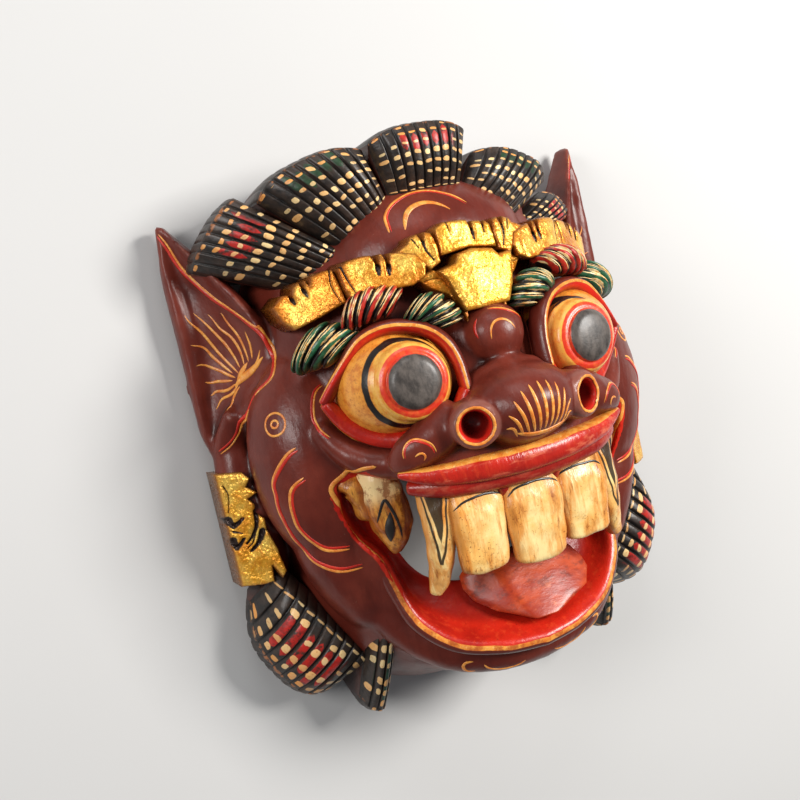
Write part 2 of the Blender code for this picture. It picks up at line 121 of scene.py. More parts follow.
def closed_curve(points, count):
    """A smooth closed curve through a ring of points, starting at the first."""
    points = [np.asarray(p, float) for p in points]
    whole = smooth_path([points[-1]] + points + points[:2], (len(points) + 2) * 40 + 1)
    part = whole[40:40 * (len(points) + 1) + 1]
    steps = np.linalg.norm(np.diff(part, axis=0), axis=1)
    reach = np.concatenate(([0], np.cumsum(steps)))
    spots = np.linspace(0, reach[-1], count, endpoint=False)
    return np.stack([np.interp(spots, reach, part[:, axis]) for axis in range(3)], axis=1)


def between(values, place):
    """Read an evenly spaced list at places from 0 to 1."""
    return np.interp(place, np.linspace(0, 1, len(values)), values)


def to_side(points, side):
    """Points of the right half, mirrored for the left half."""
    return np.asarray(points, float) * (side, 1, 1)


def unit(v):
    v = np.asarray(v, float)
    return v / np.maximum(np.linalg.norm(v, axis=-1, keepdims=True), 1e-9)


def out_of_face(p):
    """Direction straight out of the rounded head at a point."""
    x, y, z = p
    return unit((x / 84 ** 2, y / 118 ** 2, max(z, 12) / 85 ** 2))


# %% [markdown]
# A form is kept as plain lists: points, faces, and two numbers for each point, called along
# and around. `loft` skins a row of rings and closes both ends.

# %% Forms


def loft(rings, tips=(None, None), along=None):
    """A closed form through rings of points; the ends close on tips or on their own middle."""
    rings = np.asarray(rings, float)
    count, size = rings.shape[:2]
    along = np.linspace(0, 1, count) if along is None else np.asarray(along, float)
    points = rings.reshape(-1, 3)
    index = np.arange(count * size).reshape(count, size)
    nxt = np.roll(index, -1, axis=1)
    faces = np.stack([index[:-1], nxt[:-1], nxt[1:], index[1:]], axis=-1).reshape(-1, 4).tolist()
    ends = [rings[0].mean(axis=0) if tips[0] is None else tips[0],
            rings[-1].mean(axis=0) if tips[1] is None else tips[1]]
    first, last = count * size, count * size + 1
    faces += [(int(nxt[0, i]), int(index[0, i]), first) for i in range(size)]
    faces += [(int(index[-1, i]), int(nxt[-1, i]), last) for i in range(size)]
    return {"points": np.vstack([points, ends]), "faces": faces,
            "along": np.concatenate([np.repeat(along, size), along[[0, -1]]]),
            "around": np.concatenate([np.tile(np.arange(size) / size, count), (0.5, 0.5)])}


def roll(points, widths, heights=None, sides=24, steps=36, outward=out_of_face, point=0.5,
         shape=1.0):
    """A carved roll along a curve with rounded ends. A shape under 1 squares it off."""
    heights = heights or widths
    path = smooth_path(points, steps)
    forward = unit(np.gradient(path, axis=0))
    place = np.linspace(0, 1, steps)
    cap = np.sin(np.linspace(0.25, 1, 5) * math.pi / 2)
    start = path[0] - np.outer(cap[::-1], forward[0]) * widths[0] * point
    end = path[-1] + np.outer(cap, forward[-1]) * widths[-1] * point
    shrink = np.sqrt(np.maximum(1 - cap ** 2, 0))
    path = np.vstack([start[1:], path, end[:-1]])
    forward = np.vstack([np.tile(forward[0], (4, 1)), forward, np.tile(forward[-1], (4, 1))])
    size = np.concatenate([shrink[::-1][1:], np.ones(steps), shrink[:-1]])
    place = np.concatenate([np.zeros(4), place, np.ones(4)])
    angles = -math.pi / 2 + 2 * math.pi * np.arange(sides) / sides
    c, s = np.cos(angles), np.sin(angles)
    c = np.sign(c) * np.abs(c) ** shape
    s = np.sign(s) * np.abs(s) ** shape
    rings = []
    for p, f, k, t in zip(path, forward, size, place):
        out = np.asarray(outward(p), float)
        out = unit(out - f * out.dot(f))
        across = np.cross(f, out)
        rings.append(p + np.outer(c, across) * between(widths, t) * k
                     + np.outer(s, out) * between(heights, t) * k)
    return loft(rings, (start[0], end[-1]), place)


def turned(centre, axis, profile, sides=48):
    """A turned form from pairs of radius and height along the axis, smoothed between them."""
    turn = np.array(Vector((0, 0, 1)).rotation_difference(Vector(axis)).to_matrix())
    line = smooth_path([(r, h, 0) for r, h in profile], 8 * len(profile))[:, :2]
    angles = 2 * math.pi * np.arange(sides) / sides
    circle = np.stack([np.cos(angles), np.sin(angles), np.zeros(sides)], axis=1)
    rings = [np.asarray(centre) + (circle * max(r, 0.02) + (0, 0, h)) @ turn.T for r, h in line]
    return loft(rings)


def lump(centre, radii, axis=(0, 0, 1), sides=48, rows=28):
    """An egg shape with its poles on the axis."""
    turn = np.array(Vector((0, 0, 1)).rotation_difference(Vector(axis)).to_matrix())
    lift = np.linspace(-math.pi / 2, math.pi / 2, rows + 2)[1:-1]
    angles = 2 * math.pi * np.arange(sides) / sides
    rings = []
    for a in lift:
        ring = np.stack([np.cos(angles) * math.cos(a), np.sin(angles) * math.cos(a),
                         np.full(sides, math.sin(a))], axis=1)
        rings.append(np.asarray(centre) + (ring * radii) @ turn.T)
    poles = [np.asarray(centre) + turn @ (0, 0, s * radii[2]) for s in (-1, 1)]
    return loft(rings, poles)


def block(half_width, top, bottom, rise, floor=0.0, sides=96, rows=26):
    """The rounded block of the head: a flat oval under a blunt dome."""
    rings = []
    for row in range(rows):
        up = math.pi / 2 * row / rows
        share, height = math.cos(up) ** (2 / 2.3), rise * math.sin(up) ** (2 / 2.3)
        a = 2 * math.pi * np.arange(sides) / sides
        n = np.where(np.sin(a) > 0, 2.5, 3.2)
        reach = np.where(np.sin(a) > 0, top, bottom)
        radius = (np.abs(np.cos(a) / half_width) ** n + np.abs(np.sin(a) / reach) ** n) ** (-1 / n)
        rings.append(np.stack([np.cos(a) * radius * share, np.sin(a) * radius * share,
                               np.full(sides, floor + height)], axis=1))
    return loft(rings, ((0, 0, floor), (0, 0, floor + rise)))


# %% [markdown]
# `make_mesh` joins forms into one Blender mesh in metres. Every face must point outwards, so
# the normals are worked out again once the faces are in place.

# %% Forms to mesh objects


def make_mesh(name, forms, numbers=("along", "around")):
    """One mesh from forms, with their numbers as attributes."""
    points, faces, start = [], [], 0
    for form in forms:
        points.append(form["points"])
        faces += [tuple(i + start for i in face) for face in form["faces"]]
        start += len(form["points"])
    mesh = bpy.data.meshes.new(name)
    mesh.from_pydata(to_metres(np.vstack(points)).tolist(), [], faces)
    for number in numbers:
        values = np.concatenate([form.get(number, np.zeros(len(form["points"]))) for form in forms])
        mesh.attributes.new(number, "FLOAT", "POINT").data.foreach_set("value", values.astype(np.float32))
    bm = bmesh.new()
    bm.from_mesh(mesh)
    bmesh.ops.recalc_face_normals(bm, faces=bm.faces)
    bm.to_mesh(mesh)
    bm.free()
    mesh.shade_smooth()
    return mesh


def show(name, mesh, *materials):
    """Put a mesh in the scene as a piece of the mask."""
    piece = bpy.data.objects.new(name, mesh)
    bpy.context.scene.collection.objects.link(piece)
    mesh.materials.clear()
    for material in materials:
        mesh.materials.append(material)
    mesh.calc_loop_triangles()
    print(name, len(mesh.loop_triangles), "triangles")
    return piece


def evaluated(piece):
    """The mesh of an object with its modifiers applied."""
    bpy.context.view_layer.update()
    depsgraph = bpy.context.evaluated_depsgraph_get()
    return bpy.data.meshes.new_from_object(piece.evaluated_get(depsgraph), depsgraph=depsgraph)


# %% [markdown]
# ## A small language for paint
# A material is a web of nodes, and webs are hard to read as code. `Wire` stands for one
# output of a node and knows how to add, multiply and compare, so a paint recipe reads like
# arithmetic. `Recipe` holds one material and the few textures that the painter needs.

# %% Wires and recipes


class Wire:
    """One output of a node that can be used in sums."""

    def __init__(self, recipe, socket):
        self.recipe, self.socket = recipe, socket

    def sum_with(self, operation, other=None, third=None):
        return self.recipe.maths(operation, self, other, third)

    def __add__(self, other):
        return self.sum_with("ADD", other)

    def __radd__(self, other):
        return self.sum_with("ADD", other)

    def __sub__(self, other):
        return self.sum_with("SUBTRACT", other)

    def __rsub__(self, other):
        return self.recipe.maths("SUBTRACT", other, self)

    def __mul__(self, other):
        return self.sum_with("MULTIPLY", other)

    def __rmul__(self, other):
        return self.sum_with("MULTIPLY", other)

    def __truediv__(self, other):
        return self.sum_with("DIVIDE", other)

    def __abs__(self):
        return self.sum_with("ABSOLUTE")

    def floor(self):
        return self.sum_with("FLOOR")

    def fraction(self):
        return self.sum_with("FRACT")

    def power(self, other):
        return self.sum_with("POWER", other)

    def rise(self, low, high):
        """0 below low, 1 above high, smooth between; low above high turns it round."""
        node = self.recipe.node("ShaderNodeMapRange", interpolation_type="SMOOTHSTEP")
        flip = low > high
        self.recipe.feed(node.inputs["Value"], self)
        node.inputs["From Min"].default_value = min(low, high)
        node.inputs["From Max"].default_value = max(low, high)
        node.inputs["To Min"].default_value = 1.0 if flip else 0.0
        node.inputs["To Max"].default_value = 0.0 if flip else 1.0
        return Wire(self.recipe, node.outputs["Result"])

    def within(self, low, high, soft):
        """1 between low and high with soft edges."""
        return self.rise(low - soft, low + soft) * self.rise(high + soft, high - soft)


class Recipe:
    """One paint: a material with a single principled shader."""

    def __init__(self, name):
        self.material = bpy.data.materials.new(name)
        self.material.use_nodes = True
        self.tree = self.material.node_tree
        self.shader = self.tree.nodes["Principled BSDF"]

    def node(self, kind, **settings):
        node = self.tree.nodes.new(kind)
        for key, value in settings.items():
            setattr(node, key, value)
        return node

    def feed(self, socket, value):
        """Link a wire or set a plain value."""
        if isinstance(value, Wire):
            self.tree.links.new(value.socket, socket)
        elif value is not None:
            if isinstance(value, tuple) and len(value) == 3 and socket.type == "RGBA":
                value = (*value, 1.0)
            socket.default_value = value

    def maths(self, operation, a, b=None, c=None):
        node = self.node("ShaderNodeMath", operation=operation)
        for socket, value in zip(node.inputs, (a, b, c)):
            self.feed(socket, value)
        return Wire(self, node.outputs[0])

    def attribute(self, name):
        return Wire(self, self.node("ShaderNodeAttribute", attribute_name=name).outputs["Fac"])

    def place(self):
        return Wire(self, self.node("ShaderNodeTexCoord").outputs["Object"])

    def xyz(self, vector=None):
        node = self.node("ShaderNodeSeparateXYZ")
        self.feed(node.inputs[0], vector or self.place())
        return [Wire(self, output) for output in node.outputs]

    def join(self, x, y, z=0.0):
        node = self.node("ShaderNodeCombineXYZ")
        for socket, value in zip(node.inputs, (x, y, z)):
            self.feed(socket, value)
        return Wire(self, node.outputs[0])

    def noise(self, scale, detail=3.0, roughness=0.5, at=None, stretch=None):
        """Soft noise; scale counts spots per metre on Object coordinates."""
        at = at or self.place()
        if stretch:
            mapping = self.node("ShaderNodeMapping")
            self.feed(mapping.inputs["Vector"], at)
            mapping.inputs["Scale"].default_value = stretch
            at = Wire(self, mapping.outputs[0])
        node = self.node("ShaderNodeTexNoise")
        self.feed(node.inputs["Vector"], at)
        node.inputs["Scale"].default_value = scale
        node.inputs["Detail"].default_value = detail
        node.inputs["Roughness"].default_value = roughness
        return Wire(self, node.outputs[0])

    def spots(self, scale, at=None, feature="F1", output="Distance"):
        node = self.node("ShaderNodeTexVoronoi", feature=feature)
        self.feed(node.inputs["Vector"], at or self.place())
        node.inputs["Scale"].default_value = scale
        return Wire(self, node.outputs[output])

    def chance(self, x, y):
        """One random number for each whole x and y."""
        node = self.node("ShaderNodeTexWhiteNoise", noise_dimensions="2D")
        self.feed(node.inputs["Vector"], self.join(x, y))
        return Wire(self, node.outputs["Value"])

    def mix(self, share, a, b):
        """Colour a where share is 0, colour b where it is 1."""
        node = self.node("ShaderNodeMix", data_type="RGBA", clamp_factor=True)
        self.feed(node.inputs[0], share)
        self.feed(node.inputs[6], a)
        self.feed(node.inputs[7], b)
        return Wire(self, node.outputs[2])

    def blend(self, share, a, b):
        """Number a where share is 0, number b where it is 1."""
        node = self.node("ShaderNodeMix", data_type="FLOAT", clamp_factor=True)
        self.feed(node.inputs[0], share)
        self.feed(node.inputs[2], a)
        self.feed(node.inputs[3], b)
        return Wire(self, node.outputs[0])

    def finish(self, colour, roughness, height=None, depth=0.0002, strength=0.6, metallic=0.0,
               coat=0.0, gloss=0.5):
        """Wire colour, roughness and bump into the shader."""
        self.shader.inputs["Specular IOR Level"].default_value = gloss
        self.feed(self.shader.inputs["Base Color"], colour)
        self.feed(self.shader.inputs["Roughness"], roughness)
        self.feed(self.shader.inputs["Metallic"], metallic)
        if coat:
            self.shader.inputs["Coat Weight"].default_value = coat
            self.shader.inputs["Coat Roughness"].default_value = 0.25
        if height is not None:
            bump = self.node("ShaderNodeBump")
            bump.inputs["Strength"].default_value = strength
            bump.inputs["Distance"].default_value = depth
            self.feed(bump.inputs["Height"], height)
            self.tree.links.new(bump.outputs[0], self.shader.inputs["Normal"])
        return self.material


# %% [markdown]
# ## The painter's colours
# The ground of the face is a deep maroon. On top of it lie a warm red, an orange gold, a
# cream that has yellowed under varnish, a blackish brown and a bottle green.

# %% Colours
MAROON = (0.125, 0.0175, 0.0100)
MAROON_LIGHT = (0.185, 0.030, 0.0165)
# painted shade for the valleys of the maroon, also standing for settled dirt
MAROON_SHADE_AND_DIRT = (0.028, 0.0048, 0.0034)
MAROON_WORN = (0.30, 0.080, 0.050)
RED = (0.62, 0.020, 0.007)
# deep red: thick paint flecks in brushed_red, and painted shade in valleys, lids, lips and mouth
RED_DEEP_AND_SHADE = (0.20, 0.007, 0.004)
ORANGE = (0.78, 0.16, 0.014)
GOLD_LINE = (0.88, 0.38, 0.065)
CREAM = (0.86, 0.56, 0.20)
CREAM_PALE = (0.93, 0.72, 0.36)
AMBER = (0.62, 0.17, 0.014)
RUST = (0.26, 0.056, 0.009)
BLACK = (0.0095, 0.0072, 0.0060)
HAIR_BROWN = (0.036, 0.021, 0.014)
GREEN = (0.012, 0.050, 0.024)
LEAF_GOLD = (0.90, 0.40, 0.022)
LEAF_PALE = (1.0, 0.66, 0.12)
LEAF_ORANGE = (0.66, 0.19, 0.009)

# %% [markdown]
# The maroon ground is brushed on thinly. It is darker in the valleys, with painted shade that
# also stands for the dirt settled there, and lighter and duller on the crests, where hands have
# rubbed it. The hollow at the back is only stained, with painted shade in its valleys.

# %% Maroon ground


def maroon_paint():
    r = Recipe("maroon_paint")
    valley, crest, inside = r.attribute("valley"), r.attribute("crest"), r.attribute("inside")
    clouds = r.noise(38, 4, 0.6)
    brush = r.noise(260, 3, 0.6, stretch=(1.0, 0.25, 0.6))
    fine = r.noise(1400, 2)
    colour = r.mix(clouds.rise(0.35, 0.7), MAROON, MAROON_LIGHT)
    colour = r.mix(brush.rise(0.45, 0.70) * 0.35, colour, (0.075, 0.0105, 0.006))
    # painted shade: the maroon darkens in the valleys, also standing for settled dirt
    colour = r.mix(valley.rise(0.12, 0.8) * 0.9, colour, MAROON_SHADE_AND_DIRT)
    wear = crest.rise(0.35, 1.0) * brush.rise(0.4, 0.62)
    colour = r.mix(wear * 0.5, colour, MAROON_WORN)
    scuff = r.noise(520, 4, 0.7).rise(0.66, 0.74) * r.noise(60, 2).rise(0.5, 0.65)
    colour = r.mix(scuff * 0.35, colour, MAROON_WORN)
    flecks = r.noise(2300, 1).rise(0.76, 0.80) * r.noise(150, 2).rise(0.48, 0.6)
    colour = r.mix(flecks * 0.5, colour, (0.55, 0.33, 0.22))
    colour = mouth_and_nostrils(r, colour)
    grain = r.noise(90, 4, 0.6, stretch=(3.0, 0.25, 3.0))
    stain = r.mix(grain.rise(0.3, 0.7), (0.060, 0.026, 0.014), (0.115, 0.055, 0.030))
    # painted shade: the stain of the hollow darkens in its valleys
    stain = r.mix(valley.rise(0.2, 0.8) * 0.7, stain, (0.020, 0.010, 0.007))
    colour = r.mix(inside, colour, stain)
    rough = r.blend(inside, r.blend(wear, 0.27 + clouds * 0.14, 0.45), 0.72)
    height = brush * 0.8 + fine * 0.10 + clouds * 1.0 + r.noise(620, 2) * 0.25
    return r.finish(colour, rough, height, depth=0.00045, strength=0.55, gloss=0.36)


def mouth_and_nostrils(r, colour):
    """Red inside the mouth and the nostrils; the gold lines on their rims come from the lip paint and the brush lines.
    """
    mouth = r.attribute("mouth") + (r.noise(160, 3) - 0.5) * 0.8
    nostril = r.attribute("nostril") + (r.noise(200, 2) - 0.5) * 0.4
    red = brushed_red(r)
    # painted shade: the red of the mouth darkens in the valleys
    red = r.mix(r.attribute("valley").rise(0.2, 0.8) * 0.5, red, RED_DEEP_AND_SHADE)
    colour = r.mix(mouth.rise(0.4, 0.8), colour, red)
    # painted shade: the red darkens deep inside the mouth, far from the lips
    colour = r.mix(mouth.rise(17.0, 24.0) * 0.6, colour, RED_DEEP_AND_SHADE)
    # painted highlight: a pale pinkish-grey ring round each nostril
    rim = nostril.within(6.3, 8.9, 0.4)
    colour = r.mix(rim * 0.42, colour, (0.36, 0.15, 0.115))
    # painted shade: the red inside each nostril darkens in its valleys
    deep = r.mix(r.attribute("valley").rise(0.05, 0.5), (0.58, 0.020, 0.010), (0.16, 0.006, 0.004))
    return r.mix(nostril.rise(5.9, 5.6), colour, deep)


def brushed_red(r, at=None):
    """Red that varies with the brush: deeper where thick, orange where thin."""
    broad = r.noise(70, 3, 0.6, at=at)
    streak = r.noise(420, 4, 0.6, at=at, stretch=(1.0, 0.3, 1.0))
    red = r.mix(broad.rise(0.35, 0.7), RED, (0.42, 0.011, 0.005))
    red = r.mix(streak.rise(0.5, 0.75) * 0.5, red, (0.80, 0.075, 0.020))
    return r.mix(r.noise(900, 2).rise(0.68, 0.74) * 0.5, red, RED_DEEP_AND_SHADE)


def brushed_gold(r):
    """The thin orange gold that the painter draws lines with."""
    load = r.noise(330, 3, 0.6)
    gold = r.mix(load.rise(0.35, 0.65), GOLD_LINE, (0.72, 0.20, 0.024))
    return r.mix(r.noise(900, 2).rise(0.6, 0.7) * 0.5, gold, (0.95, 0.62, 0.22))


maroon = maroon_paint()

# %% [markdown]
# ## The skin of the face
# All the maroon forms are one continuous skin on the real mask: block, cheeks, muzzle, chin,
# nose, ears and the pouches under the eyes. They are made as separate closed forms that
# overlap, joined in one mesh and fused by a voxel remesh, which leaves a single surface and
# softens the valleys a little, as paint does.

# %% Maroon forms
BLOCK_HALF_WIDTH, BLOCK_TOP, BLOCK_BOTTOM, BLOCK_RISE = 76, 102, 107, 74
RIM_WALL, FACE_WALL, SPARE = 12, 16, 3


def both(make):
    """The same form on both sides of the face."""
    return [make(side) for side in SIDES]


def cheek(side):
    lower = [(60, -20, 33), (60, -34, 34), (56, -48, 35), (51, -59, 37), (45, -66, 40)]
    edge = [(84, 14, 9), (85, -4, 12), (83, -24, 14), (82, -44, 12)]
    return [lump((side * 56, -2, 33), (28.5, 44, 25)),
            roll(to_side(lower, side), [14, 16, 16, 14, 9], [15, 16, 15, 13, 9]),
            roll(to_side(edge, side), [8, 9, 10, 8], [6, 9, 9, 8])]


def pouch(side):
    path = [(62, 11, 55), (54, 0, 59), (42, -6, 67), (29, -6, 75), (20, 0, 82)]
    return [roll(to_side(path, side), [4, 6, 6.5, 6, 4], [5, 8, 8, 8, 6])]


def nostril(side):
    axis = (side * 0.42, -0.05, 0.9)
    ring = turned((side * 18.5, 4, 90), axis,
                  [(0, 0), (8.4, 0), (8.8, 4), (8.8, 8), (7.2, 11), (5.2, 10), (4.6, 5), (0, 4.5)])
    wing = [(24, 6, 84), (33, 1, 83), (41, -2, 81), (45, -6, 76)]
    return [ring, roll(to_side(wing, side), [9, 8, 6.5, 4], [9, 8, 6, 4])]


def ear(side):
    """A pointed leaf-shaped ear, hollowed in front."""
    outer = smooth_path([(92, 4, 11), (94.4, 18, 11), (94.4, 45, 11), (94.4, 72, 11), (93.4, 96.5, 10)], 60)
    inner = smooth_path([(90, 6, 15), (78, 24, 28), (67, 40, 33), (72, 60, 30), (92, 96, 12)], 60)
    rings = []
    for a, b in zip(outer, inner):
        width = np.linalg.norm(a - b)
        sag, back = min(width * 0.2, 6), min(width * 0.25, 7)
        side_of = b + (np.array((b[0] - 4, b[1], b[2] - 8)) - b) * min(1, width / 12)
        ring = [a, a + (b - a) * 0.12 - (0, 0, sag * 0.25), a + (b - a) * 0.3 - (0, 0, sag),
                a + (b - a) * 0.7 - (0, 0, sag * 0.9), a + (b - a) * 0.9 + (0, 0, 1.0), b, side_of,
                (b[0] - 3, b[1], 2 + b[2] * 0.2), (a[0] - 2, a[1], 4), a - (0, 0, back * 0.6)]
        rings.append(to_side(closed_curve(ring, 44), side))
    lobe = [(86, 4, 12), (84, 11, 14), (80, 20, 20)]
    return [loft(rings), roll(to_side(lobe, side), [4.4, 5.2, 4.6], [6.5, 7.5, 8])]


def nostril_hole(side):
    return turned((side * 18.5, 4, 90), (side * 0.42, -0.05, 0.9),
                  [(0, 0), (3.0, 0.4), (4.2, 4), (4.9, 8), (5.6, 11), (6.2, 14), (0, 14.5)])


def ear_groove(side):
    """The dark fold between the hollow of the ear and its front edge."""
    fold = [(70.5, 36, 36), (74.5, 31, 31), (78.5, 27, 26.5)]
    return roll(to_side(fold, side), [0.6, 1.3, 0.8])


def face_forms():
    under_lip = [(-50, -48, 38), (-43, -68, 42), (-25, -82, 50), (0, -86, 54),
                 (25, -82, 50), (43, -68, 42), (50, -48, 38)]
    forms = [block(BLOCK_HALF_WIDTH, BLOCK_TOP, BLOCK_BOTTOM, BLOCK_RISE + SPARE, floor=-SPARE),
             lump((0, -9, 66), (46, 15, 26)), lump((0, 20, 62), (24, 34, 22)),
             roll(under_lip, [8, 10, 11, 11.5, 11, 10, 8], [10, 12, 14, 14, 14, 12, 10]),
             lump((0, -70, 26), (53, 35, 30)), lump((0, 66, 42), (40, 26, 27)),
             lump((0, 6, 88), (21, 15, 21.3)), lump((0, 14, 84), (12, 8, 12)),
             lump((1, 31, 80.8), (11.0, 11.2, 10.4)),
             roll([(17, 14, 82), (10, 18.4, 86), (0, 20.4, 88), (-10, 18.4, 86), (-17, 14, 82)],
                  [2.0, 2.4, 2.4, 2.4, 2.0], [3, 3.6, 3.6, 3.6, 3])]
    for make in (cheek, pouch, nostril, ear):
        for group in both(make):
            forms += group
    return forms


# %% [markdown]
# The mouth is cut right through to the hollow, and a sloping bowl is cut above the lower lip.
# The two curves of the lip, its rim and its inner edge, are used again for the lip itself.

# %% The mouth's curves and the cutters
LIP_RIM = smooth_path([(62, -9, 54), (62, -20, 50), (57, -33, 49), (51, -43, 53), (48, -55, 55),
                       (44, -68, 59), (33, -79, 65), (17, -84, 71), (0, -86, 73)], 81)
LIP_EDGE = smooth_path([(52, -13, 50), (46, -22, 45), (42, -31, 43), (38, -40, 43), (35, -48, 44),
                        (30, -56, 46), (22, -61, 49), (11, -62, 52), (0, -62, 53)], 81)


def lip_curves():
    """Rim and inner edge of the lower lip, from the left corner to the right corner."""
    return [np.vstack([to_side(line, LEFT), line[::-1][1:]]) for line in (LIP_RIM, LIP_EDGE)]


def mouth_bowl():
    rings = []
    for rim, edge in zip(*lip_curves()):
        outer = rim + (edge - rim) * 0.06 - (0, 0, 1.3)
        inner = edge + (rim - edge) * -0.1 - (0, 0, 1.3)
        middle = rim + (edge - rim) * 0.45 - (0, 0, 5.2)
        lift = np.array((0, 0, 60))
        rings.append([outer, middle, inner, inner + lift, middle + lift, outer + lift])
    return loft(rings)


def mouth_gap():
    right = [(12, -63), (23, -62), (31, -57), (36, -49), (39, -41), (43, -32), (44, -12), (0, -14)]
    outline = right + [(-x, y) for x, y in reversed(right[:-1])]
    return loft([[(x, y, z) for x, y in outline] for z in (20, 120)])


def hollow():
    return block(BLOCK_HALF_WIDTH - RIM_WALL, BLOCK_TOP - RIM_WALL, BLOCK_BOTTOM - RIM_WALL,
                 BLOCK_RISE - FACE_WALL + SPARE, floor=-SPARE)


def below_floor():
    return loft([[(x, y, z) for x, y in ((-200, -200), (200, -200), (200, 200), (-200, 200))]
                 for z in (-300, 0)])


# %% [markdown]
# `fuse` remeshes, cuts and remeshes once more, so that the cut edges are rounded like the
# rest. The finished skin then gets the uneven touch of the knife: shallow waves in front and
# the scoops of a gouge in the hollow.

# %% Fusing the skin
VOXEL = 0.95
SKIN_TRIANGLES = 190000
SMOOTHING = 3


def with_modifier(mesh, kind, **settings):
    """A mesh after one modifier."""
    holder = bpy.data.objects.new("holder", mesh)
    bpy.context.scene.collection.objects.link(holder)
    step = holder.modifiers.new("step", kind)
    for key, value in settings.items():
        setattr(step, key, value)
    result = evaluated(holder)
    bpy.data.objects.remove(holder)
    return result


def cut(mesh, forms):
    """Cut closed forms out of a mesh."""
    for form in forms:
        tool = bpy.data.objects.new("tool", make_mesh("tool", [form]))
        bpy.context.scene.collection.objects.link(tool)
        mesh = with_modifier(mesh, "BOOLEAN", operation="DIFFERENCE", solver="MANIFOLD", object=tool)
        bpy.data.objects.remove(tool)
    return mesh


def neighbours(mesh):
    """Edges as two columns and how many each point has."""
    edges = np.empty(len(mesh.edges) * 2, int)
    mesh.edges.foreach_get("vertices", edges)
    edges = edges.reshape(-1, 2)
    return edges, np.bincount(edges.ravel(), minlength=len(mesh.vertices))


def spread(values, edges, counts):
    """Mean over each point's neighbours."""
    total = np.zeros_like(values)
    np.add.at(total, edges[:, 0], values[edges[:, 1]])
    np.add.at(total, edges[:, 1], values[edges[:, 0]])
    return total / counts.reshape((-1,) + (1,) * (values.ndim - 1))


def read_points(mesh):
    points = np.empty(len(mesh.vertices) * 3)
    mesh.vertices.foreach_get("co", points)
    return points.reshape(-1, 3)


def read_normals(mesh):
    normals = np.empty(len(mesh.vertices) * 3, np.float32)
    mesh.vertices.foreach_get("normal", normals)
    return normals.reshape(-1, 3).astype(float)


def inside_hollow(points):
    """1 for points on the wall of the hollow, from frame metres."""
    x, y, z = (points / MM - MOVE).T
    rise = BLOCK_RISE - FACE_WALL + SPARE
    up = np.arcsin(np.clip((z + SPARE) / rise, 0, 1) ** (2.3 / 2))
    share = np.maximum(np.cos(up), 1e-3) ** (2 / 2.3)
    n = np.where(y > 0, 2.5, 3.2)
    reach = np.where(y > 0, BLOCK_TOP - RIM_WALL, BLOCK_BOTTOM - RIM_WALL)
    radius = (np.abs(x / (BLOCK_HALF_WIDTH - RIM_WALL)) ** n + np.abs(y / reach) ** n) ** (1 / n) / share
    return np.clip((1.06 - radius) / 0.03, 0, 1) * (z < rise)


def store(mesh, name, values):
    mesh.attributes.new(name, "FLOAT", "POINT").data.foreach_set("value", np.asarray(values, np.float32))


# The crest number feeds the worn paint; the valley number feeds the painted shade in creases.
def mark_crests_and_valleys(mesh, reach=4):
    """Store how much each point is a crest or a valley, from 0 to 1."""
    edges, counts = neighbours(mesh)
    points, normals = read_points(mesh), read_normals(mesh)
    bend = ((spread(points, edges, counts) - points) * normals).sum(axis=1)
    length = np.linalg.norm(points[edges[:, 0]] - points[edges[:, 1]], axis=1).mean()
    bend /= length
    for step in range(reach):
        bend = spread(bend, edges, counts)
    store(mesh, "valley", np.clip(bend * 14, 0, 1))
    store(mesh, "crest", np.clip(-bend * 14, 0, 1))


def knife_waves(points):
    """Height of the uneven carved surface, in millimetres."""
    return np.array([noise.noise(Vector(p) * 75) * 0.38 + noise.noise(Vector(p) * 210) * 0.17 for p in points])


def gouge_scoops(points):
    """Depth of the overlapping scoops that the gouge leaves, in millimetres."""
    heights = np.empty(len(points))
    for i, p in enumerate(points):
        spot = Vector((p[0] * 90, p[1] * 55, p[2] * 90))
        near = noise.voronoi(spot)[0]
        heights[i] = near[0] * 1.1
    return heights


MOUTH_LINE = [(50, -5), (55, -6), (60, -7), (64.5, -10), (65.5, -15), (63.5, -22), (60.5, -29), (56.5, -37),
              (53, -43), (50.5, -54), (48, -65), (42, -72), (34, -78), (17, -83), (0, -85)]
MOUTH_CEILING = 68
NOSTRIL_AT, NOSTRIL_AXIS = (18.5, 4, 90), (0.42, -0.05, 0.9)


def inside_outline(x, y, outline):
    """Is a point inside a closed outline?"""
    inside = False
    for (x0, y0), (x1, y1) in zip(outline, outline[1:] + outline[:1]):
        if (y0 > y) != (y1 > y) and x < (x1 - x0) * (y - y0) / (y1 - y0) + x0:
            inside = not inside
    return inside


def segment_distance(points, a, b):
    a, b = np.asarray(a, float), np.asarray(b, float)
    t = np.clip(((points - a) @ (b - a)) / max((b - a) @ (b - a), 1e-9), 0, 1)
    return np.linalg.norm(points - a - t[:, None] * (b - a), axis=1)


def mark_mouth(mesh):
    """How far inside the line of the lips each point of the front lies, in millimetres."""
    points = read_points(mesh) / MM - MOVE
    flat = np.column_stack([np.abs(points[:, 0]), points[:, 1]])
    line = [tuple(p[:2]) for p in smooth_path([(x, y, 0) for x, y in MOUTH_LINE], 60)]
    away = np.min([segment_distance(flat, a, b) for a, b in zip(line, line[1:])], axis=0)
    outline = line + [(-5, -85), (-5, -5)]
    inside = np.array([inside_outline(x, y, outline) if y < -4 else False for x, y in flat])
    front = (points[:, 2] < MOUTH_CEILING) & (points[:, 2] > 20)
    store(mesh, "mouth", np.where(inside & front, away, -20))
    across = np.array([segment_distance(points * (side, 1, 1), NOSTRIL_AT, np.add(NOSTRIL_AT, unit(NOSTRIL_AXIS) * 60))
                       for side in SIDES]).min(axis=0)
    store(mesh, "nostril", np.where(points[:, 2] > 86, across, 99))


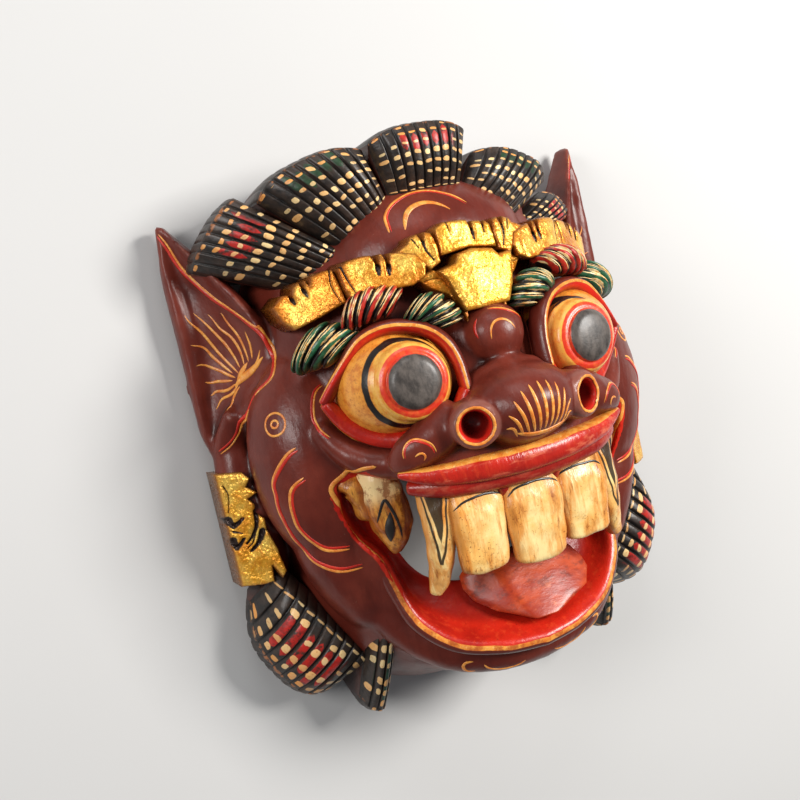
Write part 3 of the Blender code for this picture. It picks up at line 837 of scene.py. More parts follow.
def fuse_skin():
    mesh = make_mesh("mask_skin", face_forms(), numbers=())
    mesh = with_modifier(mesh, "REMESH", mode="VOXEL", voxel_size=VOXEL * MM)
    mesh = cut(mesh, [hollow(), mouth_gap(), mouth_bowl(), below_floor()] + both(nostril_hole) + both(ear_groove))
    mesh = with_modifier(mesh, "REMESH", mode="VOXEL", voxel_size=VOXEL * MM)
    edges, counts = neighbours(mesh)
    points = read_points(mesh)
    for step in range(SMOOTHING):
        points += (spread(points, edges, counts) - points) * 0.5
    mesh.vertices.foreach_set("co", points.ravel())
    mesh.update()
    inside = inside_hollow(points)
    normals = read_normals(mesh)
    lift = knife_waves(points) * (1 - inside) + gouge_scoops(points) * inside
    rim = points[:, 2] < VOXEL * MM
    points += normals * (lift * MM * ~rim)[:, None]
    points[rim, 2] = 0.0
    points[:, 2] = np.maximum(points[:, 2], 0.0)
    mesh.vertices.foreach_set("co", points.ravel())
    mesh.update()
    count = sum(len(face.vertices) - 2 for face in mesh.polygons)
    if count > SKIN_TRIANGLES:
        mesh = with_modifier(mesh, "DECIMATE", ratio=SKIN_TRIANGLES / count)
    store(mesh, "inside", inside_hollow(read_points(mesh)))
    mark_mouth(mesh)
    mark_crests_and_valleys(mesh)
    mesh.shade_smooth()
    return mesh


skin = show("mask_skin", fuse_skin(), maroon)

# %% [markdown]
# ## Eyes
# Each eye is a ball that bulges out of the socket with a turned boss on it. The painter sets
# the rings by turning the brush round the boss: slate pupil, red, orange, a black crescent,
# and gold that is stained brown over the rest of the ball. The paint reads how far a point is
# from the axis of the eye, so the rings stay sharp whatever the mesh.

# %% Eyeballs
EYE_CENTRE = (35.6, 22, 64.5)
EYE_BOSS = (34.8, 22, 80)
EYE_RADIUS = 21.0


def eye_axis(side):
    return unit((side * 0.16, 0.02, 0.98))


def eye_forms(side):
    axis = eye_axis(side)
    ball = lump(to_side(EYE_CENTRE, side), (EYE_RADIUS, EYE_RADIUS * 0.93, EYE_RADIUS * 1.07), axis, 72, 44)
    boss = turned(to_side(EYE_BOSS, side), axis,
                  [(0, 0), (14.2, 0), (14.0, 3), (13.2, 5.6), (11.4, 7.0), (9.9, 7.3), (9.5, 8.3),
                   (7.6, 9.8), (4.0, 10.5), (0, 10.7)], sides=72)
    return [ball, boss]


def rings(form, side):
    """How far each point lies from the eye's axis, and the two directions round it."""
    axis = eye_axis(side)
    right = unit(np.cross((0, 1, 0), axis))
    up = np.cross(axis, right)
    away = form["points"] - to_side(EYE_BOSS, side)
    return dict(form, east=away @ right, north=away @ up)


def eye_paint():
    r = Recipe("eye_paint")
    east, north = r.attribute("east"), r.attribute("north")
    wobble = (r.noise(230, 2) - 0.5) * 0.7
    away = r.maths("SQRT", east * east + north * north) + wobble
    turn = r.maths("ARCTAN2", north, east)
    stain = r.noise(300, 5, 0.7)
    specks = r.noise(1500, 2, 0.6).rise(0.60, 0.70)
    gold = r.mix(stain.rise(0.38, 0.70), (0.88, 0.38, 0.052), AMBER)
    gold = r.mix(specks * 0.6, gold, RUST)
    colour = gold
    bright = r.mix(stain.rise(0.45, 0.7), (0.86, 0.46, 0.08), (0.80, 0.25, 0.03))
    colour = r.mix(away.rise(15.2, 14.6), colour, bright)
    colour = r.mix(r.noise(420, 4, 0.6, stretch=(1.0, 0.3, 1.0)).rise(0.52, 0.68) * 0.5, colour, AMBER)
    beside = east + 1.3
    far = r.maths("SQRT", beside * beside + north * north) + wobble
    crescent = far.rise(14.2, 14.5) * (16.3 - east.rise(-6.0, 12.0) * 1.2 - far).rise(0.0, 0.3)
    open_side = turn.rise(-1.75, -1.55) * turn.rise(-0.1, -0.45)
    colour = r.mix(crescent * (1.0 - open_side), colour, BLACK)
    red = r.mix(r.noise(500, 3).rise(0.4, 0.7), (0.66, 0.035, 0.012), (0.72, 0.10, 0.02))
    colour = r.mix(away.rise(12.5, 12.2), colour, red)
    slate = r.mix(r.noise(330, 4, 0.65, stretch=(1, 0.5, 1)).rise(0.3, 0.7), (0.028, 0.023, 0.020),
                  (0.115, 0.095, 0.082))
    pupil = away.rise(9.7, 9.4)
    colour = r.mix(pupil, colour, slate)
    rough = r.blend(pupil, 0.32, 0.45)
    return r.finish(colour, rough, stain * 0.6 + r.noise(900, 3) * 0.3, depth=0.0004, strength=0.5, coat=0.2)


eye_paint_material = eye_paint()
eyes = show("eyes", make_mesh("eyes", [rings(form, side) for side in SIDES for form in eye_forms(side)],
                              numbers=("east", "north")), eye_paint_material)

# %% [markdown]
# ## Eyelids
# Two almond rolls hold each eye. The upper one carries a gold line on its outer shoulder and
# red inside it. The lower one is broad and all red, with gold only at the outer corner. The
# number called around tells the paint which side of the roll it is on: 0.25 is the outer
# side, 0.5 the crest and 0.75 the side that touches the eyeball.

# %% Lids on both sides


def mirror(form):
    """The same form on the other side of the face."""
    return dict(form, points=form["points"] * (-1, 1, 1))


def pair(forms):
    return forms + [mirror(form) for form in forms]


def lid_forms():
    upper = roll([(61, 20.5, 63), (54, 30, 67), (47, 38, 70), (40, 41.2, 72.5), (32.5, 41.2, 75.5), (25, 38.5, 79),
                  (19.6, 33, 82), (17, 25, 84), (16.6, 15, 85.5)], [2.0, 2.7, 2.8, 2.6, 2.2], [3.5, 4.6, 4.6, 4.6, 4],
                 sides=44, steps=80)
    lower = roll([(61, 20.5, 63), (54, 10.5, 63), (44, 3.2, 68), (32, 1.6, 75.5), (22.5, 5.5, 82), (16.6, 15, 85.5)],
                 [2.0, 3.7, 3.8, 3.2, 2.4], [3.5, 4.8, 4.8, 4.4, 4], sides=44, steps=80)
    lower["around"] = 1 - lower["around"]
    upper["lid"] = np.ones(len(upper["points"]))
    lower["lid"] = np.zeros(len(lower["points"]))
    return pair([upper, lower])


def lid_paint():
    r = Recipe("lid_paint")
    around = r.attribute("around") + (r.noise(210, 2) - 0.5) * 0.03
    along, upper = r.attribute("along"), r.attribute("lid")
    red = brushed_red(r)
    start = r.blend(upper, 0.37, 0.545 - along.rise(0.22, 0.0) * 0.12)
    colour = r.mix((around - start).rise(0.0, 0.012), MAROON, red)
    # painted shade: the upper lid's red darkens on its side against the eyeball
    colour = r.mix((around - start).rise(0.06, 0.14) * upper * 0.8, colour, RED_DEEP_AND_SHADE)
    corner = along.rise(0.30, 0.24)
    line = (around - start).within(-0.066, 0.0, 0.008) * r.maths("MAXIMUM", upper, corner)
    colour = r.mix(line, colour, brushed_gold(r))
    return r.finish(colour, 0.32, r.noise(700, 3), depth=0.0003, strength=0.4, coat=0.1)


lids = show("eyelids", make_mesh("eyelids", lid_forms(), numbers=("along", "around", "lid")), lid_paint())

# %% [markdown]
# ## Mouth
# The upper lip is one long roll with a gold upper edge, and the gum under it a darker red.
# The lower lip is a broad ledge that slopes down into the mouth. Its paint reads how far a
# point lies outside the rim: gold on the rim, red inside it, maroon outside.

# %% Lips


def upper_lip_forms():
    lip = [(-46, -9, 79), (-34, -12, 84), (-18, -13, 90), (0, -13.5, 92), (18, -13, 90), (34, -12, 84), (46, -9, 79)]
    gum = [(-42, -15, 76), (-28, -17, 83), (0, -18, 87), (28, -17, 83), (42, -15, 76)]
    red = roll(lip, [1.2, 3.8, 4.7, 4.8, 4.7, 3.8, 1.2], [1.6, 3.9, 4.4, 4.4, 4.4, 3.9, 1.6], sides=44, steps=100, shape=0.8)
    under = roll(gum, [2.4, 4.6, 5, 4.6, 2.4], [3, 5.2, 5.6, 5.2, 3], sides=36, steps=60, shape=0.9)
    red["gum"] = np.zeros(len(red["points"]))
    forms = [under]
    for x, y, z in ((-30.5, -21.6, 79), (-10.6, -21.6, 84.4), (10.6, -21.6, 84.4), (30.5, -21.6, 79)):
        forms.append(roll([(x, y + 5, z), (x, y, z + 0.6), (x, y - 4, z - 0.5)], [4.2, 3.2, 1.2], [3.6, 3.2, 1.4], sides=28, steps=20))
    return [red] + [dict(form, gum=np.ones(len(form["points"]))) for form in forms]


def lower_lip_form():
    rings, lateral, depth = [], [], []
    for rim, edge in zip(*lip_curves()):
        away = unit((rim[0] - edge[0], rim[1] - edge[1], 0))
        up = np.array((0, 0, 1.0))
        ledge = rim + (edge - rim) * 0.45 - up * 2.5
        ring = closed_curve([rim - up * 26, edge - up * 14, edge - up * 5, edge, ledge,
                             rim - away * 3 + up * 0.3, rim - away * 0.8 + up * 1.5, rim + away * 1.4 + up * 1.1,
                             rim + away * 2.8 - up * 1.2, rim + away - up * 7, rim - up * 17], 84)
        rings.append(ring)
        lateral.append((ring - rim) @ away)
        depth.append(ring[:, 2] - rim[2])
    form = loft(rings)
    form["lateral"] = np.concatenate([np.concatenate(lateral), (-9, -9)])
    form["depth"] = np.concatenate([np.concatenate(depth), (-9, -9)])
    return form


def upper_lip_paint():
    r = Recipe("upper_lip_paint")
    around = r.attribute("around") + (r.noise(120, 3) - 0.5) * 0.07
    gum = r.attribute("gum")
    # painted shade: the lower side of the lip roll is darker
    red = r.mix(around.rise(0.62, 0.40) * 0.4, brushed_red(r), RED_DEEP_AND_SHADE)
    colour = r.mix(around.rise(0.600, 0.616) * (1.0 - gum), red, brushed_gold(r))
    # painted highlight in worn-looking pink streaks along the front crest of the lip
    sheen_and_wear = r.noise(240, 4, 0.65, stretch=(0.4, 1.4, 1.0)).rise(0.50, 0.66) * around.within(0.40, 0.60, 0.04)
    colour = r.mix(sheen_and_wear * 0.45, colour, (0.86, 0.24, 0.12))
    colour = r.mix(gum * 0.55, colour, (0.24, 0.008, 0.005))
    return r.finish(colour, 0.30, r.noise(500, 4, 0.6, stretch=(1, 0.3, 1)), depth=0.0006, strength=0.6, coat=0.1)


def lower_lip_paint():
    r = Recipe("lower_lip_paint")
    lateral = r.attribute("lateral") + (r.noise(110, 3) - 0.5) * 1.3
    depth = r.attribute("depth")
    red = brushed_red(r)
    # painted shade: the red darkens where the lip slopes deep into the mouth
    red = r.mix(depth.rise(-6.5, -11.0) * 0.7, red, RED_DEEP_AND_SHADE)
    colour = r.mix(lateral.rise(0.7, 0.95), red, MAROON)
    line = lateral.within(-0.9, 0.85, 0.12) * depth.rise(-3.2, -2.6)
    rim_gold = r.mix(r.noise(260, 4, 0.65).rise(0.42, 0.62) * 0.8, brushed_gold(r), (0.42, 0.075, 0.012))
    colour = r.mix(line, colour, rim_gold)
    return r.finish(colour, 0.33, r.noise(380, 4, 0.6), depth=0.0005, strength=0.5, coat=0.25)


upper_lip = show("upper_lip", make_mesh("upper_lip", upper_lip_forms(), numbers=("along", "around", "gum")),
                 upper_lip_paint())
lower_lip = show("lower_lip", make_mesh("lower_lip", [lower_lip_form()], numbers=("lateral", "depth")),
                 lower_lip_paint())

# %% [markdown]
# The teeth are blunt pegs with square shoulders. Their sides and the part by the gum are
# painted browner as painted shade, with random brown streaks over them. Two fangs hang beside
# them, and the tusks at the corners of the mouth are gold with a cream top. The tongue is a leaf
# with a ridge down its middle.

# %% Teeth and tongue
GUM_LINE, TOOTH_LENGTH = -17, 35
TOOTH_EDGE = GUM_LINE - TOOTH_LENGTH


def roughen(form, scale, amount):
    """Move every point a little, so that no carved form is perfect."""
    points = form["points"]
    shift = np.array([noise.noise_vector(Vector(p) * scale) for p in points])
    return dict(form, points=points + shift * amount)


def tooth(x, top, bottom, z, width, thick=5.0, lean=0.0):
    path = [(x, top, z - 2), (x + lean * 0.3, top * 0.6 + bottom * 0.4, z), (x + lean, bottom + 2.5, z - 1)]
    form = roll(path, [width * 0.9, width, width * 0.86], [thick, thick, thick * 0.7], sides=56, steps=44,
                outward=lambda p: (0, 0, 1), point=0.28, shape=0.70)
    return roughen(form, 0.16, 0.7)


def teeth_forms():
    forms = [tooth(0, GUM_LINE, TOOTH_EDGE - 1, 84.5, 12.2)]
    for side in SIDES:
        forms.append(tooth(side * 21.0, GUM_LINE, TOOTH_EDGE + 1, 82.5, 10.8, lean=side * 1.0))
    fang = [(34, GUM_LINE, 77), (35, -33, 77.5), (36.5, -46, 75), (39, TOOTH_EDGE - 3, 72)]
    forms = [dict(form, fang=np.zeros(len(form["points"]))) for form in forms]
    pointed = roughen(roll(fang, [6.8, 5.8, 4.4, 2.6], [5, 5, 4.2, 2.5], sides=56, steps=60, shape=0.85), 0.2, 0.5)
    forms += pair([dict(pointed, fang=np.ones(len(pointed["points"])))])
    return [dict(form, gilded=np.zeros(len(form["points"]))) for form in forms]


def tusk_forms():
    tusk = roll([(48, -8, 58), (46, -18, 58), (44, -30, 57), (43, -39, 55)], [6, 8.5, 7.5, 3], [6, 8, 7, 4],
                sides=40, steps=44, shape=0.95)
    stub = roll([(59, -10, 52), (54, -13, 55), (50, -24, 53)], [3, 5.5, 5], [4, 6, 5], sides=32, steps=30)
    stub["along"] = np.full(len(stub["points"]), 0.6)
    return pair([dict(roughen(form, 0.2, 0.8), gilded=np.ones(len(form["points"])), fang=np.zeros(len(form["points"])))
                 for form in (tusk, stub)])


def tooth_paint():
    r = Recipe("tooth_paint")
    along, around, gilded = r.attribute("along"), r.attribute("around"), r.attribute("gilded")
    streak = r.noise(240, 5, 0.65, stretch=(1.0, 0.14, 1.0))
    scratch = r.noise(700, 3, 0.6, stretch=(1.0, 0.10, 1.0))
    blotch = r.noise(85, 4, 0.65)
    side = abs(around - 0.5)
    cream = r.mix(blotch.rise(0.35, 0.65), (0.95, 0.72, 0.32), (0.90, 0.52, 0.15))
    # painted shade: the sides of each tooth and the part by the gum turn amber, with random streaks over them
    stain = side.rise(0.07, 0.20) * 0.85 + along.rise(0.34, 0.06) * 0.8 + streak.rise(0.42, 0.60) * 0.85
    colour = r.mix(r.maths("MINIMUM", stain, 1.0) * 0.9, cream, (0.72, 0.27, 0.040))
    # painted shade again on the sides, in brown, with random brown streaks and scratches
    brown_streaks_and_shade = streak.rise(0.55, 0.66) * blotch.rise(0.40, 0.6) + side.rise(0.19, 0.26) * 0.7
    brown_streaks_and_shade = brown_streaks_and_shade + scratch.rise(0.60, 0.68) * 0.7
    colour = r.mix(r.maths("MINIMUM", brown_streaks_and_shade, 1.0) * 0.75, colour, RUST)
    specks = r.noise(1300, 2).rise(0.62, 0.69) * blotch.rise(0.35, 0.6)
    colour = r.mix(specks * 0.7, colour, RUST)
    amber = r.mix(streak.rise(0.36, 0.60), (0.84, 0.36, 0.050), (0.40, 0.105, 0.012))
    amber = r.mix(scratch.rise(0.55, 0.66) * 0.7, amber, (0.14, 0.030, 0.008))
    amber = r.mix(along.rise(0.42, 0.20) * blotch.rise(0.25, 0.45), amber, (0.94, 0.70, 0.34))
    amber = r.mix(r.noise(180, 5, 0.7).rise(0.50, 0.62) * 0.8, amber, (0.26, 0.055, 0.010))
    colour = r.mix(gilded * 0.95, colour, amber)
    tilt = abs(around - 0.5) + (r.noise(300, 2) - 0.5) * 0.008
    stroke = (0.0125 - abs(tilt - (0.60 - along) * 0.205)).rise(-0.004, 0.004) * along.rise(0.60, 0.585)
    wedge = ((0.40 - along) * 0.215 - tilt).rise(-0.004, 0.004)
    top = along.rise(0.075, 0.055)
    mark = r.maths("MAXIMUM", r.maths("MAXIMUM", stroke, wedge), top) * r.attribute("fang") * tilt.rise(0.20, 0.19)
    colour = r.mix(mark * 0.94, colour, BLACK)
    height = streak * 0.8 + scratch * 0.4 + r.noise(120, 2) * 0.8
    return r.finish(colour, 0.30, height, depth=0.0008, strength=0.7, coat=0.1)


def tongue_form():
    """A broad flat leaf that lies on the slope of the lip, with one long facet on its left."""
    rings, reach = [], smooth_path([(0, -54, 0), (0, -60, 0), (0, -68, 0), (0, -77.6, 0)], 40)[:, 1]
    left = between([-15, -20, -20.5, -18.5, -13, -2], (reach + 54) / -23.6)
    right = between([20, 26, 29, 29.5, 26, 8], (reach + 54) / -23.6)
    for y, a, b in zip(reach, left, right):
        middle, half = (a + b) / 2, (b - a) / 2
        turns = 2 * math.pi * np.arange(72) / 72 - math.pi / 2
        across = np.sign(np.cos(turns)) * np.abs(np.cos(turns)) ** 0.75
        lift = np.sign(np.sin(turns)) * np.abs(np.sin(turns)) ** 0.75
        x = middle + across * half
        top = 63.0 - (y + 60) * 0.59 - 0.0035 * (x - 4) ** 2
        facet = np.maximum((-9 - (y + 60) * 0.35) - x, 0) * 0.42
        thick = 4.2 * min(1.0, math.sqrt(max((y + 78.2) / 6.0, 0.04)))
        rings.append(np.column_stack([x, np.full(72, y), top - facet - thick + lift * thick]))
    return roughen(loft(rings), 0.10, 0.35)


def tongue_paint():
    r = Recipe("tongue_paint")
    wash = r.noise(120, 5, 0.65, stretch=(0.5, 1.0, 1.0))
    red = r.mix(wash.rise(0.35, 0.65), (0.60, 0.075, 0.014), (0.36, 0.026, 0.006))
    red = r.mix(r.noise(260, 5, 0.7, stretch=(0.6, 1.0, 1.0)).rise(0.50, 0.66) * 0.65, red, (0.16, 0.016, 0.007))
    # painted highlight: light orange spots scattered over the tongue
    red = r.mix(r.noise(200, 3).rise(0.60, 0.75) * 0.5, red, (0.80, 0.20, 0.08))
    return r.finish(red, 0.36, wash, depth=0.0006, strength=0.6, coat=0.08)


tooth_material = tooth_paint()
TOOTH_NUMBERS = ("along", "around", "gilded", "fang")
teeth = show("teeth", make_mesh("teeth", teeth_forms(), TOOTH_NUMBERS), tooth_material)
tusks = show("tusks", make_mesh("tusks", tusk_forms(), TOOTH_NUMBERS), tooth_material)
tongue = show("tongue", make_mesh("tongue", [tongue_form()]), tongue_paint())

# %% [markdown]
# ## Hair
# The hair stands round the forehead in five carved fans, and two more curl under the ears.
# Each fan is cut into strands by V grooves. A point remembers which strand it is on and how
# far it is from root to crest, and the paint lays its cream dashes, its red and its green by
# those two numbers, as the painter's eye does.

# %% Hair fans


def hair_fan(root, crest, strands, groove=1.5, fall=8.0, bow=0.25, belly=7.0, floor=1.0, tuck=5.0, ridge=0.3,
             fullness=3.4):
    """A fan of carved strands from a root line to a crest line, two points each."""
    root_a, root_b, crest_a, crest_b = (np.asarray(p, float) for p in (*root, *crest))
    flow = (crest_a + crest_b - root_a - root_b) / 2
    flat = unit((flow[0], flow[1], 0))
    width = np.linalg.norm(crest_b - crest_a)
    places = np.linspace(0, 1, strands * 12 + 1)
    up = np.array((0, 0, 1.0))
    rings, strand, reach = [], [], []
    for place in places:
        bulge = 1 - abs(2 * place - 1) ** fullness
        sweep = 1 - abs(2 * place - 1) ** 3.0
        lane = place * strands
        gap = abs(lane - round(lane))
        cut = groove * math.exp(-(gap / 0.10) ** 2) - ridge * math.sin(math.pi * (lane % 1.0))
        low = root_a + (root_b - root_a) * place
        high = crest_a + (crest_b - crest_a) * place + flat * bow * width * sweep
        swell = belly * bulge - cut
        keys = [low + (high - low) * t + up * swell * lift for t, lift in ((0, 0.55), (0.35, 1), (0.75, 1), (1, 0.6))]
        front = smooth_path(keys, 34)
        shoulder = high + flat * (1.0 - cut * 0.5) - up * fall * 0.5
        back = high - flat * fall * 0.4
        back[2] = floor
        foot = low - flat * tuck
        behind = smooth_path([front[-1], shoulder, (shoulder + back) / 2 + flat * 0.5, back], 10)[1:]
        rings.append(np.vstack([[(foot[0], foot[1], floor)], [foot - up * tuck * 0.4], front, behind]))
        reach.append(np.concatenate([(-0.3, -0.1), np.linspace(0, 1, 34), np.linspace(1.03, 1.4, 9)]))
        strand.append(np.full(len(reach[-1]), lane))
    wall = [np.zeros(len(r)) for r in reach]
    for first in (0, -1):
        outward = unit(rings[first].mean(axis=0) - rings[len(rings) // 2].mean(axis=0)) * 0.05
        at = 0 if first == 0 else len(rings)
        rings.insert(at, rings[first] + outward)
        reach.insert(at, reach[first])
        strand.insert(at, strand[first])
        wall.insert(at, np.ones(len(reach[0])))
    form = loft(rings)
    form["strand"] = np.concatenate([np.concatenate(strand), (0, strands)])
    form["reach"] = np.concatenate([np.concatenate(reach), (0.5, 0.5)])
    form["wall"] = np.concatenate([np.concatenate(wall), (1, 1)])
    form["middle"] = np.clip(3.2 * (0.5 - np.abs(form["strand"] / strands - 0.5)) - 0.15, 0, 1)
    return form


FAN_STRANDS = (8, 9, 9, 9, 8)
HAIR_ROOTS = [((-52, 60, 36), (-37, 73, 46)), ((-36, 72, 46), (-16, 88, 52)), ((-15, 88, 53), (15, 87, 53)),
              ((16, 86, 52), (37, 70, 46)), ((38, 69, 44), (50, 58, 34))]
HAIR_CRESTS = [((-86, 76, 20), (-68, 99, 36)), ((-61, 95, 40), (-21, 106, 52)), ((-20, 107, 56), (20, 106, 56)),
               ((24, 98, 50), (60, 82, 38)), ((61, 79, 32), (78, 64, 18))]
HAIR_BOWS = (0.09, 0.16, 0.12, 0.17, 0.13)
RED_FANS, GREEN_FANS = (0, 2, 4), (1, 3)


def fans(numbers):
    return [hair_fan(HAIR_ROOTS[k], HAIR_CRESTS[k], FAN_STRANDS[k], bow=HAIR_BOWS[k]) for k in numbers]


def curl_forms():
    """The round curl of the beard under each gilded leaf."""
    return pair([hair_fan([(84, -44, 24), (56, -86, 28)], [(92, -52.5, 12), (68, -96.5, 12)], 10,
                          bow=0.24, belly=11, groove=1.7, tuck=6, ridge=0.5, fullness=2.4)])


def lock_forms():
    """The pointed lock that hangs beside the chin."""
    return pair([hair_fan([(53, -59, 43), (43.5, -60, 47)], [(60.5, -101, 21), (50, -106.5, 21)], 4,
                          bow=0.34, belly=6, groove=1.6, tuck=4, ridge=0.6, fullness=2.0)])


def hair_paint(name, patch, rows=7.8, dash_height=0.19, dash_width=0.31, patch_from=0.42, patch_to=0.76,
               cream_share=0.5):
    """Dark strands with rows of cream dashes and patches of one colour between them."""
    r = Recipe(name)
    strand, reach, wall = r.attribute("strand"), r.attribute("reach"), r.attribute("wall")
    middle = r.attribute("middle")
    lane = strand.floor()
    within = strand.fraction() - 0.5
    row = r.maths("MAXIMUM", reach, 0.0).power(0.8) * rows + (r.noise(90, 2) - 0.5) * 0.5
    step = row.floor()
    luck = r.chance(lane, step)
    luck_b = r.chance(lane + 31.0, step + 7.0)
    luck_c = r.chance(lane + 67.0, step + 3.0)
    centre = 0.5 + (luck - 0.5) * 0.24
    ragged = (r.noise(900, 2) - 0.5) * 0.09
    lean = within * (luck_c - 0.5) * 0.5
    tall = dash_height * (0.65 + luck_b * 0.6) + ragged
    wide = (1.14 - reach * 0.30) * dash_width * (0.75 + luck * 0.4) + ragged
    up = abs((row.fraction() + lean - centre) / tall)
    sideways = abs((within + (luck_b - 0.5) * 0.08) / wide)
    dash = (up.power(3.0) + sideways.power(3.0)).rise(1.12, 0.88)
    dash = dash * (luck_c - reach.rise(0.70, 1.0) * 0.36).rise(0.15, 0.16) * reach.rise(0.0, 0.02) * reach.rise(1.04, 1.0)
    smoky = r.noise(330, 4, 0.6)
    base = r.mix(smoky.rise(0.35, 0.7), BLACK, HAIR_BROWN)
    base = r.mix(r.noise(60, 3).rise(0.45, 0.7) * 0.5, base, (0.060, 0.034, 0.022))
    start = patch_from + r.chance(lane, 3.0) * 0.14
    end = patch_to + r.chance(lane, 5.0) * 0.14
    taper = (reach - start).rise(0.0, 0.08) * (end - reach).rise(0.0, 0.10)
    smear = r.noise(260, 3, 0.65).rise(0.30, 0.50)
    shade = (0.31 * taper + ragged * 0.6 - abs(within)).rise(-0.03, 0.03) * taper.rise(0.0, 0.2)
    shade = shade * middle.rise(0.35, 0.6) * smear * r.chance(lane, 9.0).rise(0.08, 0.10)
    colour = r.mix(shade * 0.95, base, r.mix(r.noise(500, 3).rise(0.4, 0.7) * 0.5, patch, BLACK))
    cream = r.mix(luck * 0.7 + reach.rise(0.5, 1.1) * 0.6, CREAM_PALE, (0.86, 0.36, 0.075))
    cream = r.mix(r.noise(800, 3).rise(0.55, 0.7) * 0.6, cream, (0.66, 0.22, 0.035))
    worn_crest = reach.within(0.95, 1.03, 0.015) * r.noise(300, 3).rise(0.50, 0.60)
    colour = r.mix(dash * (0.70 + luck_b * 0.3), colour, cream)
    colour = r.mix(worn_crest * 0.65, colour, (0.50, 0.17, 0.045))
    brown_wall = r.mix(r.noise(90, 3).rise(0.4, 0.7), (0.030, 0.008, 0.005), (0.10, 0.024, 0.013))
    behind = r.maths("MAXIMUM", wall, reach.rise(1.16, 1.24))
    colour = r.mix(behind, colour, brown_wall)
    groove = abs(within).rise(0.42, 0.49) * (1.0 - behind)
    colour = r.mix(groove, colour, (0.004, 0.003, 0.003))
    height = dash * 0.4 + r.noise(420, 3, stretch=(1, 1, 1)) * 0.7 + r.noise(90, 2) * 0.5
    return r.finish(colour, r.blend(dash, 0.42, 0.36), height, depth=0.0006, strength=0.6, coat=0.05)


HAIR_NUMBERS = ("strand", "reach", "wall", "middle")
HAIR_RED, HAIR_GREEN = (0.52, 0.016, 0.009), (0.012, 0.050, 0.017)
hair_red = show("hair_red", make_mesh("hair_red", fans(RED_FANS), HAIR_NUMBERS), hair_paint("hair_red_paint", HAIR_RED))
hair_green = show("hair_green", make_mesh("hair_green", fans(GREEN_FANS), HAIR_NUMBERS),
                  hair_paint("hair_green_paint", HAIR_GREEN, patch_from=0.5, patch_to=0.86))
curls = show("beard_curls", make_mesh("beard_curls", curl_forms(), HAIR_NUMBERS),
             hair_paint("curl_paint", HAIR_RED, rows=5.2, dash_height=0.22, dash_width=0.34, patch_from=0.12,
                        patch_to=0.74))
locks = show("beard_locks", make_mesh("beard_locks", lock_forms(), HAIR_NUMBERS),
             hair_paint("lock_paint", (0.010, 0.060, 0.030), rows=9.5, dash_height=0.27, dash_width=0.36,
                        patch_from=0.05, patch_to=0.8))

# %% [markdown]
# The brows are three short locks over each eye, cut by slanting flutes. The stripes of their
# paint follow the flutes: black in the groove, cream on one slope and green or red on the
# other.

# %% Brows


def brow_lump(points, widths, heights, flutes, groove=0.26, shear=0.5, sides=48):
    steps = flutes * 12 + 1
    path = smooth_path(points, steps)
    forward = unit(np.gradient(path, axis=0))
    angles = -math.pi / 2 + 2 * math.pi * np.arange(sides) / sides
    rings = []
    for i, (p, f) in enumerate(zip(path, forward)):
        out = out_of_face(p)
        out = unit(out - f * out.dot(f))
        across = np.cross(f, out)
        place = i / (steps - 1)
        lane = place * flutes
        cut = 1 - groove * math.exp(-(abs(lane - round(lane)) / 0.16) ** 2)
        end = min(1.0, math.sin(math.pi * min(place, 1 - place) / 0.24) if min(place, 1 - place) < 0.12 else 1.0)
        w, h = between(widths, place) * cut * (0.55 + 0.45 * end), between(heights, place) * cut * (0.5 + 0.5 * end)
        rings.append(p + np.outer(np.cos(angles) * w, across) + np.outer(np.sin(angles) * h, out)
                     + np.outer(shear * w * np.cos(angles), f))
    form = loft(rings)
    form["flute"] = form["along"] * flutes
    return form


BROWS = {"inner": ([(27, 46.5, 76), (20.5, 44, 79), (14, 37.5, 80)], [4.8, 6.6, 6.6, 4], [5, 7.5, 7.5, 5], 6, 0.6, 0.0),
         "middle": ([(48.5, 49, 67), (39.5, 50.5, 71), (30, 49.5, 74)], [4.8, 6.2, 6.2, 4.8], [5, 7.5, 7.5, 5], 6, 0.7, 1.0),
         "outer": ([(63, 40, 55), (56.5, 39.5, 61), (50, 37, 66)], [6.4, 9.0, 9.0, 6.4], [5, 8.5, 8.5, 6], 5, 0.7, 0.0)}


def brow_forms():
    forms = []
    for points, widths, heights, flutes, shear, reddish in BROWS.values():
        form = brow_lump(points, widths, heights, flutes, shear=shear)
        form["reddish"] = np.full(len(form["points"]), reddish)
        forms.append(form)
    return pair(forms)


